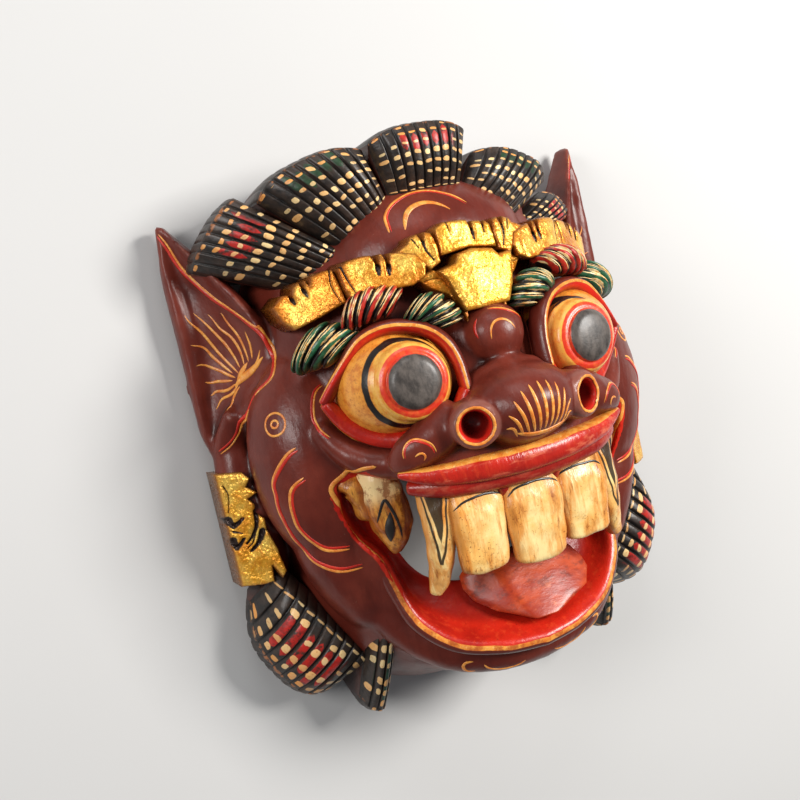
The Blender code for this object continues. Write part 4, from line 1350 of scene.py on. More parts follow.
def brow_paint():
    r = Recipe("brow_paint")
    flute, around, reddish = r.attribute("flute"), r.attribute("around"), r.attribute("reddish")
    bristle = r.noise(190, 4, 0.7)
    spot = (flute + (bristle - 0.5) * 0.30).fraction()
    lane = flute.floor()
    ends = abs(around - 0.5)
    tint = r.mix(reddish, (0.022, 0.120, 0.052), (0.50, 0.026, 0.014))
    tint = r.mix(r.noise(420, 3).rise(0.45, 0.65) * 0.5, tint, BLACK)
    colour = r.mix((0.19 - abs(spot - 0.68)).rise(-0.02, 0.04), (0.014, 0.010, 0.008), tint)
    cream = 0.0
    for number, (across, long, wide) in enumerate(((0.30, 0.15, 0.090), (0.56, 0.10, 0.055), (0.84, 0.12, 0.060), (0.44, 0.07, 0.045))):
        luck, luck_b = r.chance(lane, 1.0 + number), r.chance(lane, 8.0 + number)
        away = (around - 0.5 + (luck - 0.5) * 0.26) / (long * (0.6 + luck_b * 0.6))
        leaf = (1.0 - away * away) * wide
        streak = (leaf - abs(spot - across + (luck_b - 0.5) * 0.14)).rise(-0.012, 0.012)
        if number % 2:
            colour = r.mix((leaf * 2.2 - abs(spot - across - 0.05)).rise(-0.03, 0.03), colour, tint)
        cream = r.maths("MAXIMUM", streak, cream)
    light = r.mix(r.noise(500, 3).rise(0.4, 0.65), CREAM_PALE, (0.86, 0.44, 0.12))
    colour = r.mix(cream, colour, light)
    foot = ends.rise(0.20, 0.27) * r.noise(230, 3).rise(0.45, 0.55)
    colour = r.mix(foot * 0.7, colour, (0.60, 0.20, 0.040))
    colour = r.mix(ends.rise(0.27, 0.31), colour, (0.040, 0.014, 0.009))
    colour = r.mix((abs(flute.fraction() - 0.5)).rise(0.42, 0.49), colour, (0.006, 0.004, 0.004))
    return r.finish(colour, 0.36, cream * 0.5 + r.noise(500, 3) * 0.7, depth=0.0006, strength=0.6, coat=0.08)


brows = show("brows", make_mesh("brows", brow_forms(), ("flute", "around", "reddish")), brow_paint())

# %% [markdown]
# ## Gilded leaves
# The crown band, the plate between the brows and the leaf under each ear are flat leaves cut
# to an outline, with a few knife cuts in them. The front is filled with a fine triangle mesh
# so that its edge can be rounded over and the cuts can sink into it.

# %% Leaves cut to an outline


def curve_on_leaf(points, step=0.5):
    """A smooth line across a leaf, as flat spots."""
    length = sum(math.dist(a, b) for a, b in zip(points, points[1:]))
    return smooth_path([(x, y, 0) for x, y in points], max(3, round(length / step)))[:, :2]


def cut_depth(flat, points, half, deep):
    """How deep one knife cut is at each spot; it narrows towards its end."""
    depth = np.zeros(len(flat))
    spots = curve_on_leaf(points, 1.5)
    for k, (a, b) in enumerate(zip(spots, spots[1:])):
        wide = half * (1 - 0.65 * k / (len(spots) - 1))
        depth = np.maximum(depth, deep * np.exp(-(segment_distance(flat, a, b) / wide) ** 2))
    return depth


def cut_leaf(outline, surface, depth, cuts=(), spacing=0.9, edge=0.9):
    """A leaf with a rounded edge; a cut is the points of a curve, its half width and its depth."""
    outline = [tuple(map(float, p)) for p in outline]
    border = []
    for a, b in zip(outline, outline[1:] + outline[:1]):
        count = max(1, round(math.dist(a, b) / spacing))
        border += [(a[0] + (b[0] - a[0]) * i / count, a[1] + (b[1] - a[1]) * i / count) for i in range(count)]
    spots = list(border)
    for a, b in zip(border, border[1:] + border[:1]):
        middle, away = ((a[0] + b[0]) / 2, (a[1] + b[1]) / 2), unit((a[1] - b[1], b[0] - a[0]))
        for side in SIDES:
            spot = (middle[0] + away[0] * side * 0.35, middle[1] + away[1] * side * 0.35)
            if inside_outline(*spot, outline):
                spots.append(spot)
    for points, half, deep in cuts:
        middle = curve_on_leaf(points)
        across = unit(np.gradient(middle, axis=0)[:, ::-1] * (-1, 1))
        for step in (-1.6, -0.8, 0, 0.8, 1.6):
            spots += [tuple(spot) for spot in middle + across * half * step if inside_outline(*spot, outline)]
    kept = np.array(spots)
    xs, ys = [p[0] for p in outline], [p[1] for p in outline]
    for row, y in enumerate(np.arange(min(ys), max(ys), spacing * 0.87)):
        for x in np.arange(min(xs) + (row % 2) * spacing / 2, max(xs), spacing):
            if inside_outline(x, y, outline) and np.hypot(*(kept - (x, y)).T).min() > 0.6 * spacing:
                spots.append((x, y))
    links = [(i, (i + 1) % len(border)) for i in range(len(border))]
    flat, _, faces, *_ = delaunay_2d_cdt([Vector(p) for p in spots], links, [], 1, 1e-4)
    flat = np.array([tuple(p) for p in flat])
    gap = np.min([segment_distance(flat, a, b) for a, b in zip(outline, outline[1:] + outline[:1])], axis=0)
    inner = np.clip(edge - gap, 0, edge)
    drop = edge - np.sqrt(np.maximum(edge ** 2 - inner ** 2, 0))
    carved = np.zeros(len(flat))
    for points, half, deep in cuts:
        carved = np.maximum(carved, cut_depth(flat, points, half, deep))
    wave = np.array([noise.noise(Vector((px * 0.16, py * 0.16, depth))) * 0.6
                     + noise.noise(Vector((px * 0.5, py * 0.5, depth))) * 0.22 for px, py in flat])
    high = np.array([surface(px, py) for px, py in flat])
    top = np.column_stack([flat, high - drop - carved + wave])
    bottom = np.column_stack([flat, high - depth])
    count = len(flat)
    rim_edges = {(face[i], face[(i + 1) % len(face)]) for face in faces for i in range(len(face))}
    walls = [(a, b) for a, b in rim_edges if (b, a) not in rim_edges]
    all_faces = [tuple(face) for face in faces] + [tuple(i + count for i in reversed(face)) for face in faces]
    all_faces += [(b, a, a + count, b + count) for a, b in sorted(walls)]
    zeros = np.zeros(count)
    return {"points": np.vstack([top, bottom]), "faces": all_faces,
            "edge": np.concatenate([gap, zeros]), "carved": np.concatenate([carved, zeros])}


def crown_front(x, y):
    return 80 - 0.0072 * x * x - 0.2 * (y - 55)


def higher(surface, lift):
    return lambda x, y: surface(x, y) + lift


def crown_forms():
    first = [(67, 57), (63.5, 60.5), (61.6, 60.4), (60.8, 58.2), (59.4, 62.6), (57.6, 64), (56.7, 60.8), (55.6, 64.2),
             (54.6, 61.8), (53.6, 65), (49.5, 66), (46.8, 65.8), (46, 62), (45.4, 57), (45.2, 53.4), (54, 50), (62.3, 47.4),
             (65.3, 51)]
    second = [(45.6, 65.4), (42.6, 67.4), (37.4, 68), (34.6, 67.6), (33.3, 63), (31.9, 67.4), (31, 67.4), (29.9, 62.2),
              (28.6, 67), (25.2, 66.4), (20, 64.8), (17.8, 60.6), (19, 56.2), (24, 54), (33, 54.2), (40, 53.8), (44, 53.4),
              (45.2, 58)]
    third = [(26.4, 66.4), (21.5, 68.8), (20.4, 70.4), (17.6, 71.4), (16.2, 68), (14.9, 71.6), (12.6, 70.8), (11.6, 66),
             (12, 60), (16.5, 58), (19, 60.8), (21.8, 63.4)]
    wing = [(22, 56), (15, 58), (11, 55), (7, 41), (8, 36), (10, 44), (12, 48), (17, 51)]
    first_cuts = [([(60.8, 58.6), (60.2, 56.6)], 0.7, 1.2), ([(56.7, 61), (56.2, 58.6)], 0.7, 1.2),
                  ([(47.6, 66), (48.4, 60), (46.6, 53)], 0.35, 0.9)]
    second_cuts = [([(33.3, 63.4), (33.6, 60.5)], 0.8, 1.4), ([(29.9, 62.8), (30.4, 59.8)], 0.8, 1.4),
                   ([(44.6, 66), (43.4, 60), (41.6, 53.6)], 0.4, 1.0), ([(24, 66), (22, 60), (22.6, 54)], 0.25, 0.5)]
    third_cuts = [([(16.2, 68.4), (16, 65), (14.4, 61.5)], 0.6, 1.1), ([(19.6, 70), (18.2, 66.4)], 0.4, 0.8)]
    return pair([cut_leaf(first, crown_front, 16, first_cuts),
                 cut_leaf(second, higher(crown_front, 1.5), 16, second_cuts),
                 cut_leaf(third, higher(crown_front, 0.6), 16, third_cuts),
                 cut_leaf(wing, higher(crown_front, -1.5), 16, [([(19, 54.5), (13, 54), (10, 47)], 0.3, 0.6)])])


def plate_forms():
    top_leaf = [(-11, 62), (-10.6, 72), (-7, 73.6), (0, 73.2), (2.4, 72.6), (3.2, 68.4), (4.2, 72), (7.4, 71.6), (8.2, 69.6),
                (9.4, 71.4), (11.4, 69.6), (11.6, 61), (0, 63)]
    plate = [(-14.5, 57), (-8, 58.5), (-6, 61.5), (0, 62.5), (8, 61), (10, 58.5), (16, 59), (14.4, 53), (12.4, 47), (8.6, 41),
             (-9, 41), (-10.8, 47), (-12.4, 53)]
    cuts = [([(3.2, 69), (3.4, 65.5)], 0.7, 1.2), ([(-6, 73.4), (-5.4, 69)], 0.35, 0.8), ([(8.2, 70), (8, 67)], 0.5, 1.0)]
    return [cut_leaf(top_leaf, crown_front, 16, cuts), cut_leaf(plate, higher(crown_front, 2.5), 16, edge=1.6)]


def side_leaf_forms():
    outline = [(95, 0), (91, -0.2), (86.4, -0.8), (84.4, -3.6), (86, -6.6), (83, -9.4), (86.2, -11.4), (84.6, -13.8), (85, -17),
               (82.6, -19.6), (82.8, -24), (81.8, -28), (80.8, -32), (80.4, -36), (79.6, -41), (81.4, -43.6), (83.8, -38.2),
               (84.2, -44.4), (88, -45.2), (95, -45)]
    cuts = [([(94.2, -18), (93, -21), (89.6, -18.4)], 1.0, 2.0), ([(93.2, -5), (92.2, -9), (93.4, -15)], 0.35, 0.8),
            ([(94, -26), (93.6, -29.6), (90.6, -26.2)], 0.9, 1.8), ([(93.6, -23), (91, -24)], 0.5, 1.0),
            ([(85, -16.4), (85.8, -21.8), (87.8, -25.7), (90, -28.2)], 0.7, 1.5),
            ([(84.4, -24), (86, -28), (89.2, -31.4)], 0.9, 1.7), ([(86.6, -24), (88, -28), (90, -30)], 0.4, 0.9)]
    return pair([cut_leaf(outline, lambda x, y: 17 + (95 - abs(x)) * 0.9, 14, cuts, edge=1.2)])


def gold_leaf(name, shade_tone=0.0):
    r = Recipe(name)
    edge, carved = r.attribute("edge"), r.attribute("carved")
    patches = r.noise(85, 4, 0.65)
    fleck = r.noise(900, 3, 0.6)
    crinkle = r.noise(420, 4, 0.7, stretch=(1.0, 0.5, 1.0))
    grain = r.spots(620)
    colour = r.mix(patches.rise(0.34, 0.62), LEAF_PALE, LEAF_GOLD)
    # painted shade: the second number spreads the orange patches on the shaded copy
    colour = r.mix(patches.rise(0.54 - shade_tone, 0.74 - shade_tone) * 0.8, colour, LEAF_ORANGE)
    # painted shade with stain: orange darkening towards the outline, stronger on the shaded copy
    colour = r.mix(edge.rise(3.6, 0.6) * (0.25 + shade_tone * 2.0), colour, LEAF_ORANGE)
    colour = r.mix(crinkle.rise(0.54, 0.66) * 0.45, colour, LEAF_ORANGE)
    colour = r.mix(fleck.rise(0.58, 0.66) * 0.55, colour, (0.42, 0.10, 0.006))
    colour = r.mix(grain.rise(0.20, 0.08) * 0.4, colour, (0.26, 0.055, 0.006))
    # painted shade with dark stain along the outline and down the walls
    colour = r.mix(edge.rise(0.9, 0.05) * 0.8, colour, (0.20, 0.045, 0.006))
    # painted shade with dark stain inside the knife cuts
    colour = r.mix(carved.rise(0.22, 0.7), colour, (0.020, 0.007, 0.004))
    rough = r.blend(fleck.rise(0.5, 0.7), 0.24, 0.42)
    height = patches * 1.0 + crinkle * 0.55 + fleck * 0.45 + grain * 0.3
    return r.finish(colour, rough, height, depth=0.0007, strength=0.8, metallic=0.5)


LEAF_NUMBERS = ("edge", "carved")
gold = gold_leaf("gold_leaf")
# painted shade: the crown leaves get a darker copy of the gold; the plate and side leaves keep the bright one
shaded_gold = gold_leaf("gold_leaf_shaded", 0.14)
crown = show("crown_leaves", make_mesh("crown_leaves", crown_forms(), LEAF_NUMBERS), shaded_gold)
plate = show("crown_plate", make_mesh("crown_plate", plate_forms(), LEAF_NUMBERS), gold)
side_leaves = show("side_leaves", make_mesh("side_leaves", side_leaf_forms(), LEAF_NUMBERS), gold)

# %% [markdown]
# ## Brush lines
# The last thing the painter does is to draw lines on the face with a loaded brush. Paint from
# a brush stands a little proud and tapers where the brush lands and lifts. That is a rule
# along a path, so one Geometry Nodes tree makes every line: it lays the path on the wood,
# turns it to the wood's own slope and sweeps a flat lens along it.

# %% The brush tree


def brush_tree():
    tree = bpy.data.node_groups.new("brush_line", "GeometryNodeTree")
    face = tree.interface
    face.new_socket("Geometry", in_out="INPUT", socket_type="NodeSocketGeometry")
    for label, kind in (("Wood", "NodeSocketObject"), ("Width", "NodeSocketFloat"), ("Height", "NodeSocketFloat"),
                        ("Spacing", "NodeSocketFloat"), ("Paint", "NodeSocketMaterial")):
        face.new_socket(label, in_out="INPUT", socket_type=kind)
    face.new_socket("Geometry", in_out="OUTPUT", socket_type="NodeSocketGeometry")
    nodes, link = tree.nodes, tree.links.new
    given, result = nodes.new("NodeGroupInput"), nodes.new("NodeGroupOutput")
    wood = nodes.new("GeometryNodeObjectInfo")
    link(given.outputs["Wood"], wood.inputs["Object"])
    path = nodes.new("GeometryNodeMeshToCurve")
    link(given.outputs["Geometry"], path.inputs["Mesh"])
    even = nodes.new("GeometryNodeResampleCurve")
    even.mode = "LENGTH"
    link(path.outputs["Curve"], even.inputs["Curve"])
    link(given.outputs["Spacing"], even.inputs["Length"])
    nearest = nodes.new("GeometryNodeProximity")
    nearest.target_element = "FACES"
    link(wood.outputs["Geometry"], nearest.inputs["Geometry"])
    laid = nodes.new("GeometryNodeSetPosition")
    link(even.outputs["Curve"], laid.inputs["Geometry"])
    link(nearest.outputs["Position"], laid.inputs["Position"])
    slope = nodes.new("GeometryNodeInputNormal")
    sample = nodes.new("GeometryNodeSampleNearestSurface")
    sample.data_type = "FLOAT_VECTOR"
    link(wood.outputs["Geometry"], sample.inputs["Mesh"])
    link(slope.outputs["Normal"], sample.inputs["Value"])
    tilt = nodes.new("GeometryNodeSetCurveNormal")
    tilt.mode = "FREE"
    link(laid.outputs["Geometry"], tilt.inputs["Curve"])
    link(sample.outputs["Value"], tilt.inputs["Normal"])
    lens = nodes.new("GeometryNodeCurvePrimitiveCircle")
    lens.inputs["Resolution"].default_value = 10
    lens.inputs["Radius"].default_value = 0.5
    size = nodes.new("ShaderNodeCombineXYZ")
    link(given.outputs["Height"], size.inputs["X"])
    link(given.outputs["Width"], size.inputs["Y"])
    size.inputs["Z"].default_value = 1.0
    flat = nodes.new("GeometryNodeTransform")
    link(lens.outputs["Curve"], flat.inputs["Geometry"])
    link(size.outputs[0], flat.inputs["Scale"])
    press = nodes.new("GeometryNodeInputNamedAttribute")
    press.data_type = "FLOAT"
    press.inputs["Name"].default_value = "press"
    sweep = nodes.new("GeometryNodeCurveToMesh")
    link(tilt.outputs["Curve"], sweep.inputs["Curve"])
    link(flat.outputs["Geometry"], sweep.inputs["Profile Curve"])
    link(press.outputs["Attribute"], sweep.inputs["Scale"])
    sweep.inputs["Fill Caps"].default_value = True
    soft = nodes.new("GeometryNodeSetShadeSmooth")
    link(sweep.outputs["Mesh"], soft.inputs["Geometry"])
    real = nodes.new("GeometryNodeRealizeInstances")
    link(soft.outputs["Geometry"], real.inputs["Geometry"])
    paint = nodes.new("GeometryNodeSetMaterial")
    link(real.outputs["Geometry"], paint.inputs["Geometry"])
    link(given.outputs["Paint"], paint.inputs["Material"])
    link(paint.outputs["Geometry"], result.inputs["Geometry"])
    return tree


BRUSH = brush_tree()
BRUSH_SOCKETS = {item.name: item.identifier for item in BRUSH.interface.items_tree if item.in_out == "INPUT"}
LINE_HEIGHT, LINE_SPACING = 0.4, 0.7


def line(points, width=1.2, taper=0.35, closed=False, count=0, steady=3, swelling=0.0):
    """One stroke: points on or near the wood, its width in millimetres and how fast it tapers.

    A steady hand smooths the path; a swelling stroke starts thin and ends thick.
    """
    length = sum(math.dist(a, b) for a, b in zip(points, points[1:]))
    count = count or max(8, round(length / 1.2))
    path = closed_curve(points, count) if closed else smooth_path(points, count)
    for step in range(0 if closed else steady):
        path[1:-1] = (path[:-2] + 2 * path[1:-1] + path[2:]) / 4
    t = np.linspace(0, 1, count)
    width = width * (1 - swelling * (1 - t))
    press = np.ones(count) if closed else np.maximum(np.sin(math.pi * t) ** taper, 0.12)
    return {"path": path, "press": press * width, "closed": closed}


def both_lines(strokes):
    return strokes + [dict(stroke, path=stroke["path"] * (-1, 1, 1)) for stroke in strokes]


def brush(name, strokes, wood, paint):
    """Draw strokes on a piece of wood with the brush tree and keep the result as a mesh."""
    points, edges, press = [], [], []
    for stroke in strokes:
        start, count = len(points), len(stroke["path"])
        points += to_metres(stroke["path"]).tolist()
        edges += [(start + i, start + i + 1) for i in range(count - 1)]
        if stroke["closed"]:
            edges.append((start + count - 1, start))
        press += list(stroke["press"])
    mesh = bpy.data.meshes.new(name)
    mesh.from_pydata(points, edges, [])
    store(mesh, "press", press)
    holder = bpy.data.objects.new(name + "_path", mesh)
    bpy.context.scene.collection.objects.link(holder)
    step = holder.modifiers.new("brush", "NODES")
    step.node_group = BRUSH
    for label, value in (("Wood", wood), ("Width", MM), ("Height", LINE_HEIGHT * MM), ("Spacing", LINE_SPACING * MM),
                         ("Paint", paint)):
        step[BRUSH_SOCKETS[label]] = value
    result = evaluated(holder)
    bpy.data.objects.remove(holder)
    return show(name, result, paint)


# %% [markdown]
# The lines themselves: arcs on the forehead and cheeks, rays in the ears, a fan of whiskers
# on the nose, rings round the nostrils and small marks beside the eyes. Most arcs are double,
# gold on the outside and red inside.

# %% Where the lines go


def beside(points, gap):
    """The same path moved sideways in the plane of the face."""
    points = np.asarray(points, float)
    forward = np.gradient(points[:, :2], axis=0)
    across = unit(np.column_stack([-forward[:, 1], forward[:, 0]]))
    return np.column_stack([points[:, :2] + across * gap, points[:, 2]])


FOREHEAD_OUTER = [(-22, 74, 62), (-22, 77, 61), (-21, 81, 59), (-15, 85, 57), (-5, 87, 57), (3, 85, 60), (10, 79, 64)]
FOREHEAD_INNER = [(-17, 74, 65), (-16, 77, 64), (-14, 80, 63), (-10, 82, 62), (-3, 82, 63), (2, 78, 66)]
CHEEK_OUTER = [(72, 6, 53), (76, 4, 51), (81, -4, 45), (81, -10, 44), (80, -18, 42), (74, -34, 41), (67, -42, 48),
               (57, -43, 51)]
CHEEK_INNER = [(72, -5, 54), (77, -9, 50), (77, -19, 47), (75, -25, 46), (69, -33, 47), (60, -35, 50)]
EYE_CORNER = [(57, 26, 52), (61, 24, 53), (64, 16, 55), (64, 11, 59), (62, 8, 62)]
ALAR_ARC = [(45, -3, 85), (45, 0, 85), (42, 3, 86), (39, 2, 88), (36, 0, 90), (35, -3, 89)]
ALAR_CURL = [(42, -3, 87), (41, -2, 88), (39, -2, 89), (38, -4, 88), (39, -5, 87)]
EAR_RIDGE = [(93, 93, 10), (90.9, 88.4, 11), (87.1, 77.5, 12.2), (80, 65.5, 17.8), (74, 57, 26), (68.7, 48.9, 32.5),
             (66.8, 40, 34.5), (70.8, 31.5, 40), (77.6, 25.7, 32), (82.2, 18, 26), (84.3, 12, 22), (91, 7.6, 16)]
CHIN_CURLS = [[(26.9, -88.4, 62.5), (29.8, -88, 61.3), (30.6, -90, 60), (28.5, -92.6, 58.5), (25.5, -93, 59.5)],
              [(22.8, -90.8, 62.5), (21, -93, 61.5), (16, -94.6, 61), (10, -94.6, 62), (6.5, -93.2, 63.5)]]
BUMP_ARC = [(-1.7, 40.2, 85.5), (2.6, 39.4, 87), (6, 37.6, 87.4), (9.6, 35, 85), (12.2, 32, 82)]
BUMP_LEFT = [(-6.5, 37.7, 85), (-8, 35.5, 85), (-8.2, 33.4, 85.3), (-7.7, 31, 86)]
# painted highlight: a gold crescent stroke on the front of the boss between the brows
BUMP_HIGHLIGHT_CRESCENT = [(-4.3, 30, 88.8), (-4.2, 33.6, 88.9), (-2.2, 35.8, 89.2), (0.9, 36, 89.6), (3.5, 34.1, 89.9), (4.6, 31.6, 90)]
MOUTH_CORNER = [(50.5, -5.3, 70.7), (55, -5.2, 66.9), (58.9, -7.2, 57.7), (63.2, -9.5, 56.7), (64.1, -12.1, 56.2),
                (62.4, -16.5, 55.6), (59.3, -23.8, 50.6), (55.5, -31, 49.7), (52.6, -39.4, 54), (50.8, -45, 54)]


def circle(centre, axis, radius, count=14):
    axis = unit(axis)
    right = unit(np.cross((0, 1, 0), axis))
    up = np.cross(axis, right)
    angles = 2 * math.pi * np.arange(count) / count
    return [tuple(np.asarray(centre) + (right * math.cos(a) + up * math.sin(a)) * radius) for a in angles]


EAR_RAYS = [[(90.5, 61.4, 11.9), (87.7, 56.3, 11.7), (83.9, 49.7, 13.2), (80.6, 42.1, 15.6), (77.5, 35.6, 19.8)],
            [(86.6, 61.7, 11.8), (83.7, 55.8, 13.8), (80.7, 51.1, 15.8), (78.2, 44.8, 17.8), (76.6, 37.6, 20.3)],
            [(82.3, 60, 14.8), (80.2, 54.4, 16.6), (77.2, 50.2, 19.1), (75.2, 44.1, 21), (75.2, 38.4, 22)],
            [(78.6, 59.3, 18.7), (77.2, 55.8, 19.7), (75.1, 50.2, 21.7), (73.9, 44.8, 23), (73.8, 39.2, 23.9)],
            [(73, 50.7, 25.8), (72.3, 45.5, 26.2), (72.7, 40, 25.9)], [(70.2, 42.7, 30.5), (71.8, 38.6, 28.6), (74, 35.8, 25.7)],
            [(90.6, 50.1, 11.7), (85.5, 46.7, 12.1), (82.7, 41.4, 13.9), (79.2, 36, 17.8)],
            [(90.7, 41.7, 11.7), (85.9, 40.5, 11.9), (81.8, 36.7, 15.2), (78.8, 34.2, 18.8)],
            [(88.9, 34.4, 11.1), (84.8, 34, 13), (79.9, 33.3, 17.8)],
            [(87.9, 29, 11.2), (86.1, 30.3, 12.2), (82.5, 30, 15.7), (79, 32, 19.5)],
            [(87.5, 23.8, 12.3), (84.6, 27.1, 14.3), (81.1, 28.5, 17.8), (78.7, 31.4, 20.2)],
            [(86.2, 21.6, 15), (83.6, 24, 18), (81, 27.4, 18.7), (78.5, 30.7, 20.9)]]


def whiskers(count=11):
    """The gold fan on the nose, from a root under its tip."""
    strokes = [line([(-10, -3, 103), (-4, -5, 104), (4, -5, 104), (10, -3, 103)], 2.6, 0.4)]
    for i in range(count):
        t = 2 * i / (count - 1) - 1
        root = (9 * t, -3.5 - 0.6 * abs(t), 105 - 4 * t * t)
        end = (13.8 * math.sin(1.25 * t) / math.sin(1.25), 14.5 - 15.5 * t * t, 107 - 4 * t * t)
        bow = ((root[0] + end[0]) / 2 + 1.2 * t, (root[1] + end[1]) / 2 + 0.6, 109 - 3 * t * t)
        strokes.append(line([root, bow, end], 1.3, 0.5))
    return strokes


def ear_rays():
    """Wavy rays that run together at the root of the ear."""
    strokes = []
    for k, ray in enumerate(EAR_RAYS):
        path = smooth_path(ray, 18)
        t = np.linspace(0, 1, 18)
        away = path[-1] - path[0]
        across = unit((-away[1], away[0], 0))
        path = path + np.outer(np.sin(13.0 * t + k * 1.3) * 0.5 * (1 - t), across)
        strokes.append(line([tuple(p) for p in path], 1.5, 0.45, steady=1, swelling=0.45))
    strokes.append(line([(70.1, 40, 31.4), (73.2, 36, 26.8), (77, 33.4, 21.4), (79.8, 30.8, 19)], 3.4, 0.8))
    strokes.append(line([(74.4, 39, 23.6), (76.6, 36, 21.4), (78.6, 33, 19.6)], 2.4, 0.8))
    return strokes


def line_paint(name, colour_of):
    r = Recipe(name)
    return r.finish(colour_of(r), 0.36, r.noise(900, 2), depth=0.0002, strength=0.3, coat=0.2)


gold_line = line_paint("gold_line_paint", brushed_gold)
red_line = line_paint("red_line_paint", brushed_red)
black_line = line_paint("black_line_paint", lambda r: r.mix(r.noise(500, 2), BLACK, (0.03, 0.022, 0.018)))

# the crescent on the brow boss among these gold strokes is a painted highlight
gold_strokes = [line(FOREHEAD_OUTER, 1.3), line(FOREHEAD_INNER, 2.3, 0.6), line(BUMP_ARC, 0.9),
                line(BUMP_HIGHLIGHT_CRESCENT, 1.0, 0.5)] + whiskers()
gold_strokes += both_lines([line(beside(CHEEK_OUTER, 0.6), 1.5), line(beside(CHEEK_INNER, 0.6), 1.5),
                            line(beside(EYE_CORNER, -0.4), 0.8), line(MOUTH_CORNER, 1.9, 0.15), line(beside(ALAR_ARC, -0.4), 0.8),
                            line(ALAR_CURL, 0.9), line(beside(EAR_RIDGE, -0.7), 1.3),
                            line(CHIN_CURLS[0], 1.3, steady=1), line(CHIN_CURLS[1], 1.1),
                            line(circle((76, 16, 47), (0.7, 0.05, 0.7), 4.3), 0.9, closed=True),
                            line(circle((76, 16, 47), (0.7, 0.05, 0.7), 1.5), 0.9, closed=True),
                            line(circle((23, 3.5, 100), (0.42, -0.05, 0.9), 6.3), 1.1, closed=True)] + ear_rays())
red_strokes = [line(beside(FOREHEAD_OUTER, -1.0), 0.9), line(beside(BUMP_ARC, -0.8), 0.7), line(BUMP_LEFT, 1.2)]
red_strokes += both_lines([line(beside(CHEEK_OUTER, -0.7), 1.7), line(beside(CHEEK_INNER, -0.6), 1.4),
                           line(beside(EYE_CORNER, 0.4), 1.0), line(beside(ALAR_ARC, 0.4), 0.9),
                           line(beside(EAR_RIDGE, 0.6), 1.7)])
gold_lines = brush("gold_lines", gold_strokes, skin, gold_line)
red_lines = brush("red_lines", red_strokes, skin, red_line)

# %% [markdown]
# Black marks sharpen the teeth: a chevron round a drop on each tusk and an arc over every tooth
# where it leaves the gum. The V on each fang is already in the paint of the teeth.

# %% Black marks
TUSK_CHEVRON = [(-51.3, -26.9, 60.9), (-49.9, -21.1, 64.7), (-48.2, -18.7, 65.7), (-46.5, -22.5, 65.6), (-44.8, -27.4, 64.8),
                (-43.6, -34.8, 62.8)]
TUSK_DROP = [(-47.2, -23.8, 65.2), (-47.8, -28, 64), (-48, -32, 62.5), (-47.6, -35, 60.8)]


def over_tooth(x, width, y, z):
    """The black arc where a tooth leaves the gum."""
    return line([(x - width, y - 3.4, z - 4), (x - width * 0.75, y - 0.8, z - 1), (x, y, z), (x + width * 0.75, y - 0.8, z - 1),
                 (x + width, y - 3.4, z - 4)], 0.95, 0.4, steady=1)


tusk_marks = both_lines([line(TUSK_CHEVRON, 1.3, steady=1), line(TUSK_DROP, 3.9, 0.9)])
tooth_marks = [over_tooth(0, 10.8, -23.0, 91)] + [over_tooth(side * 20.8, 9.8, -22.6, 88) for side in SIDES]
black_tusks = brush("tusk_marks", tusk_marks, tusks, black_line)
black_gums = brush("gum_marks", tooth_marks, teeth, black_line)

# %% [markdown]
# ## Studio
# A plain pale floor and two large soft lights. The highlights on the nose and the brow boss
# show that the main light comes from the right of the face and the fill from its left.

# %% Floor, world and lights


def floor_paint():
    r = Recipe("pale_floor")
    cloud = r.noise(6, 3)
    colour = r.mix(cloud, (0.60, 0.60, 0.595), (0.64, 0.64, 0.635))
    return r.finish(colour, 0.8)


floor_mesh = bpy.data.meshes.new("studio_floor")
FLOOR_HALF = 3.0
floor_mesh.from_pydata([(x * FLOOR_HALF, y * FLOOR_HALF, -0.0003) for x, y in ((-1, -1), (1, -1), (1, 1), (-1, 1))],
                       [], [(0, 1, 2, 3)])
floor = show("studio_floor", floor_mesh, floor_paint())

world = bpy.data.worlds.new("studio")
bpy.context.scene.world = world
world.use_nodes = True
world.node_tree.nodes["Background"].inputs["Color"].default_value = (0.92, 0.95, 1.0, 1)
world.node_tree.nodes["Background"].inputs["Strength"].default_value = 0.16


def soft_light(name, direction, distance, size, power, tint=(1.0, 1.0, 1.0)):
    """A square area light that faces the mask from a direction."""
    data = bpy.data.lights.new(name, "AREA")
    data.shape = "SQUARE"
    data.size = size
    data.energy = power
    data.color = tint
    lamp = bpy.data.objects.new(name, data)
    bpy.context.scene.collection.objects.link(lamp)
    toward = Vector(unit(direction))
    lamp.location = Vector((0, 0, 0.05)) + toward * distance
    lamp.rotation_euler = toward.to_track_quat("Z", "Y").to_euler()
    return lamp


soft_light("key_light", (0.60, 0.25, 0.75), 0.9, 0.30, 10.5, (1.0, 0.97, 0.93))
soft_light("fill_light", (-0.85, 0.35, 0.55), 1.0, 0.35, 5.0, (1.0, 0.98, 0.96))
soft_light("top_light", (-0.1, 0.9, 0.5), 1.1, 0.5, 2.5)
bpy.context.scene.view_settings.view_transform = "Standard"

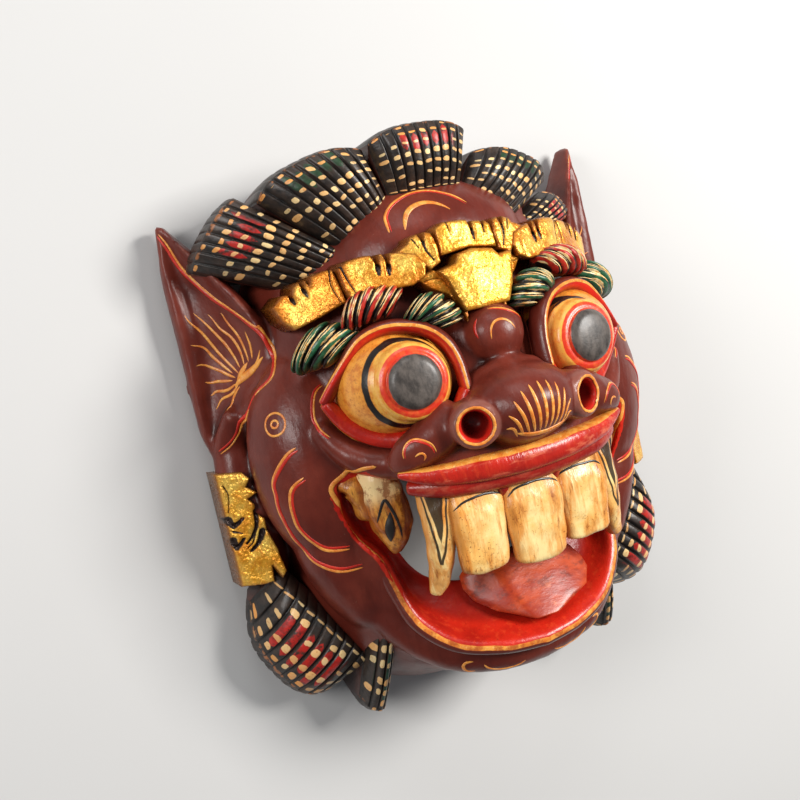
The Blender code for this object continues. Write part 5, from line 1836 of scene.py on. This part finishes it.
# %% [markdown]
# ## Clearing the hollow
# The eyeballs, tufts and locks are modelled deep into the wood, and some of them would come
# out in the hollow with paint on them. A gouge leaves none of that. The hollow has the same
# shape at every size, so one number says how far a point is on the way to its wall. A point
# that falls short is pushed out along its own ray until it sits in the wood.

# %% Clearing the hollow
HOLLOW_BLUNTNESS = 2.3
IN_THE_WOOD = 1.05
AT_THE_WALL = 1.01
HOLLOW_MIDDLE = np.array((0, 0, -SPARE))


def wall_share(points):
    """How far each point is on its ray to the wall of the hollow, where 1 is at the wall."""
    x, y, z = points.T
    n = np.where(y > 0, 2.5, 3.2)
    reach = np.where(y > 0, BLOCK_TOP - RIM_WALL, BLOCK_BOTTOM - RIM_WALL)
    plan = (np.abs(x / (BLOCK_HALF_WIDTH - RIM_WALL)) ** n + np.abs(y / reach) ** n) ** (1 / n)
    height = np.maximum((z + SPARE) / (BLOCK_RISE - FACE_WALL + SPARE), 0)
    return (plan ** HOLLOW_BLUNTNESS + height ** HOLLOW_BLUNTNESS) ** (1 / HOLLOW_BLUNTNESS)


def clear_hollow(piece, share):
    """Push the points of a piece that stand in the hollow out into the wood."""
    points = read_points(piece.data) / MM - MOVE
    push = np.maximum(share / np.maximum(wall_share(points), 0.05), 1.0)
    points = HOLLOW_MIDDLE + (points - HOLLOW_MIDDLE) * push[:, None]
    piece.data.vertices.foreach_set("co", to_metres(points).ravel())
    piece.data.update()
    print(piece.name, int((push > 1).sum()), "points pushed into the wood")


for piece in (eyes, lids, hair_red, hair_green, curls, locks, brows, crown, plate, side_leaves):
    clear_hollow(piece, IN_THE_WOOD)
clear_hollow(lower_lip, AT_THE_WALL)

# %% [markdown]
# ## The pieces on their body
# Every piece stands for the imported solid and rides on its one body.

# %% Ride, replace and finish
PIECES = [skin, eyes, lids, upper_lip, lower_lip, teeth, tusks, tongue, hair_red, hair_green, curls, locks,
          brows, crown, plate, side_leaves, gold_lines, red_lines, black_tusks, black_gums]
for piece in PIECES:
    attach(piece, BODY)
    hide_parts(NODE)
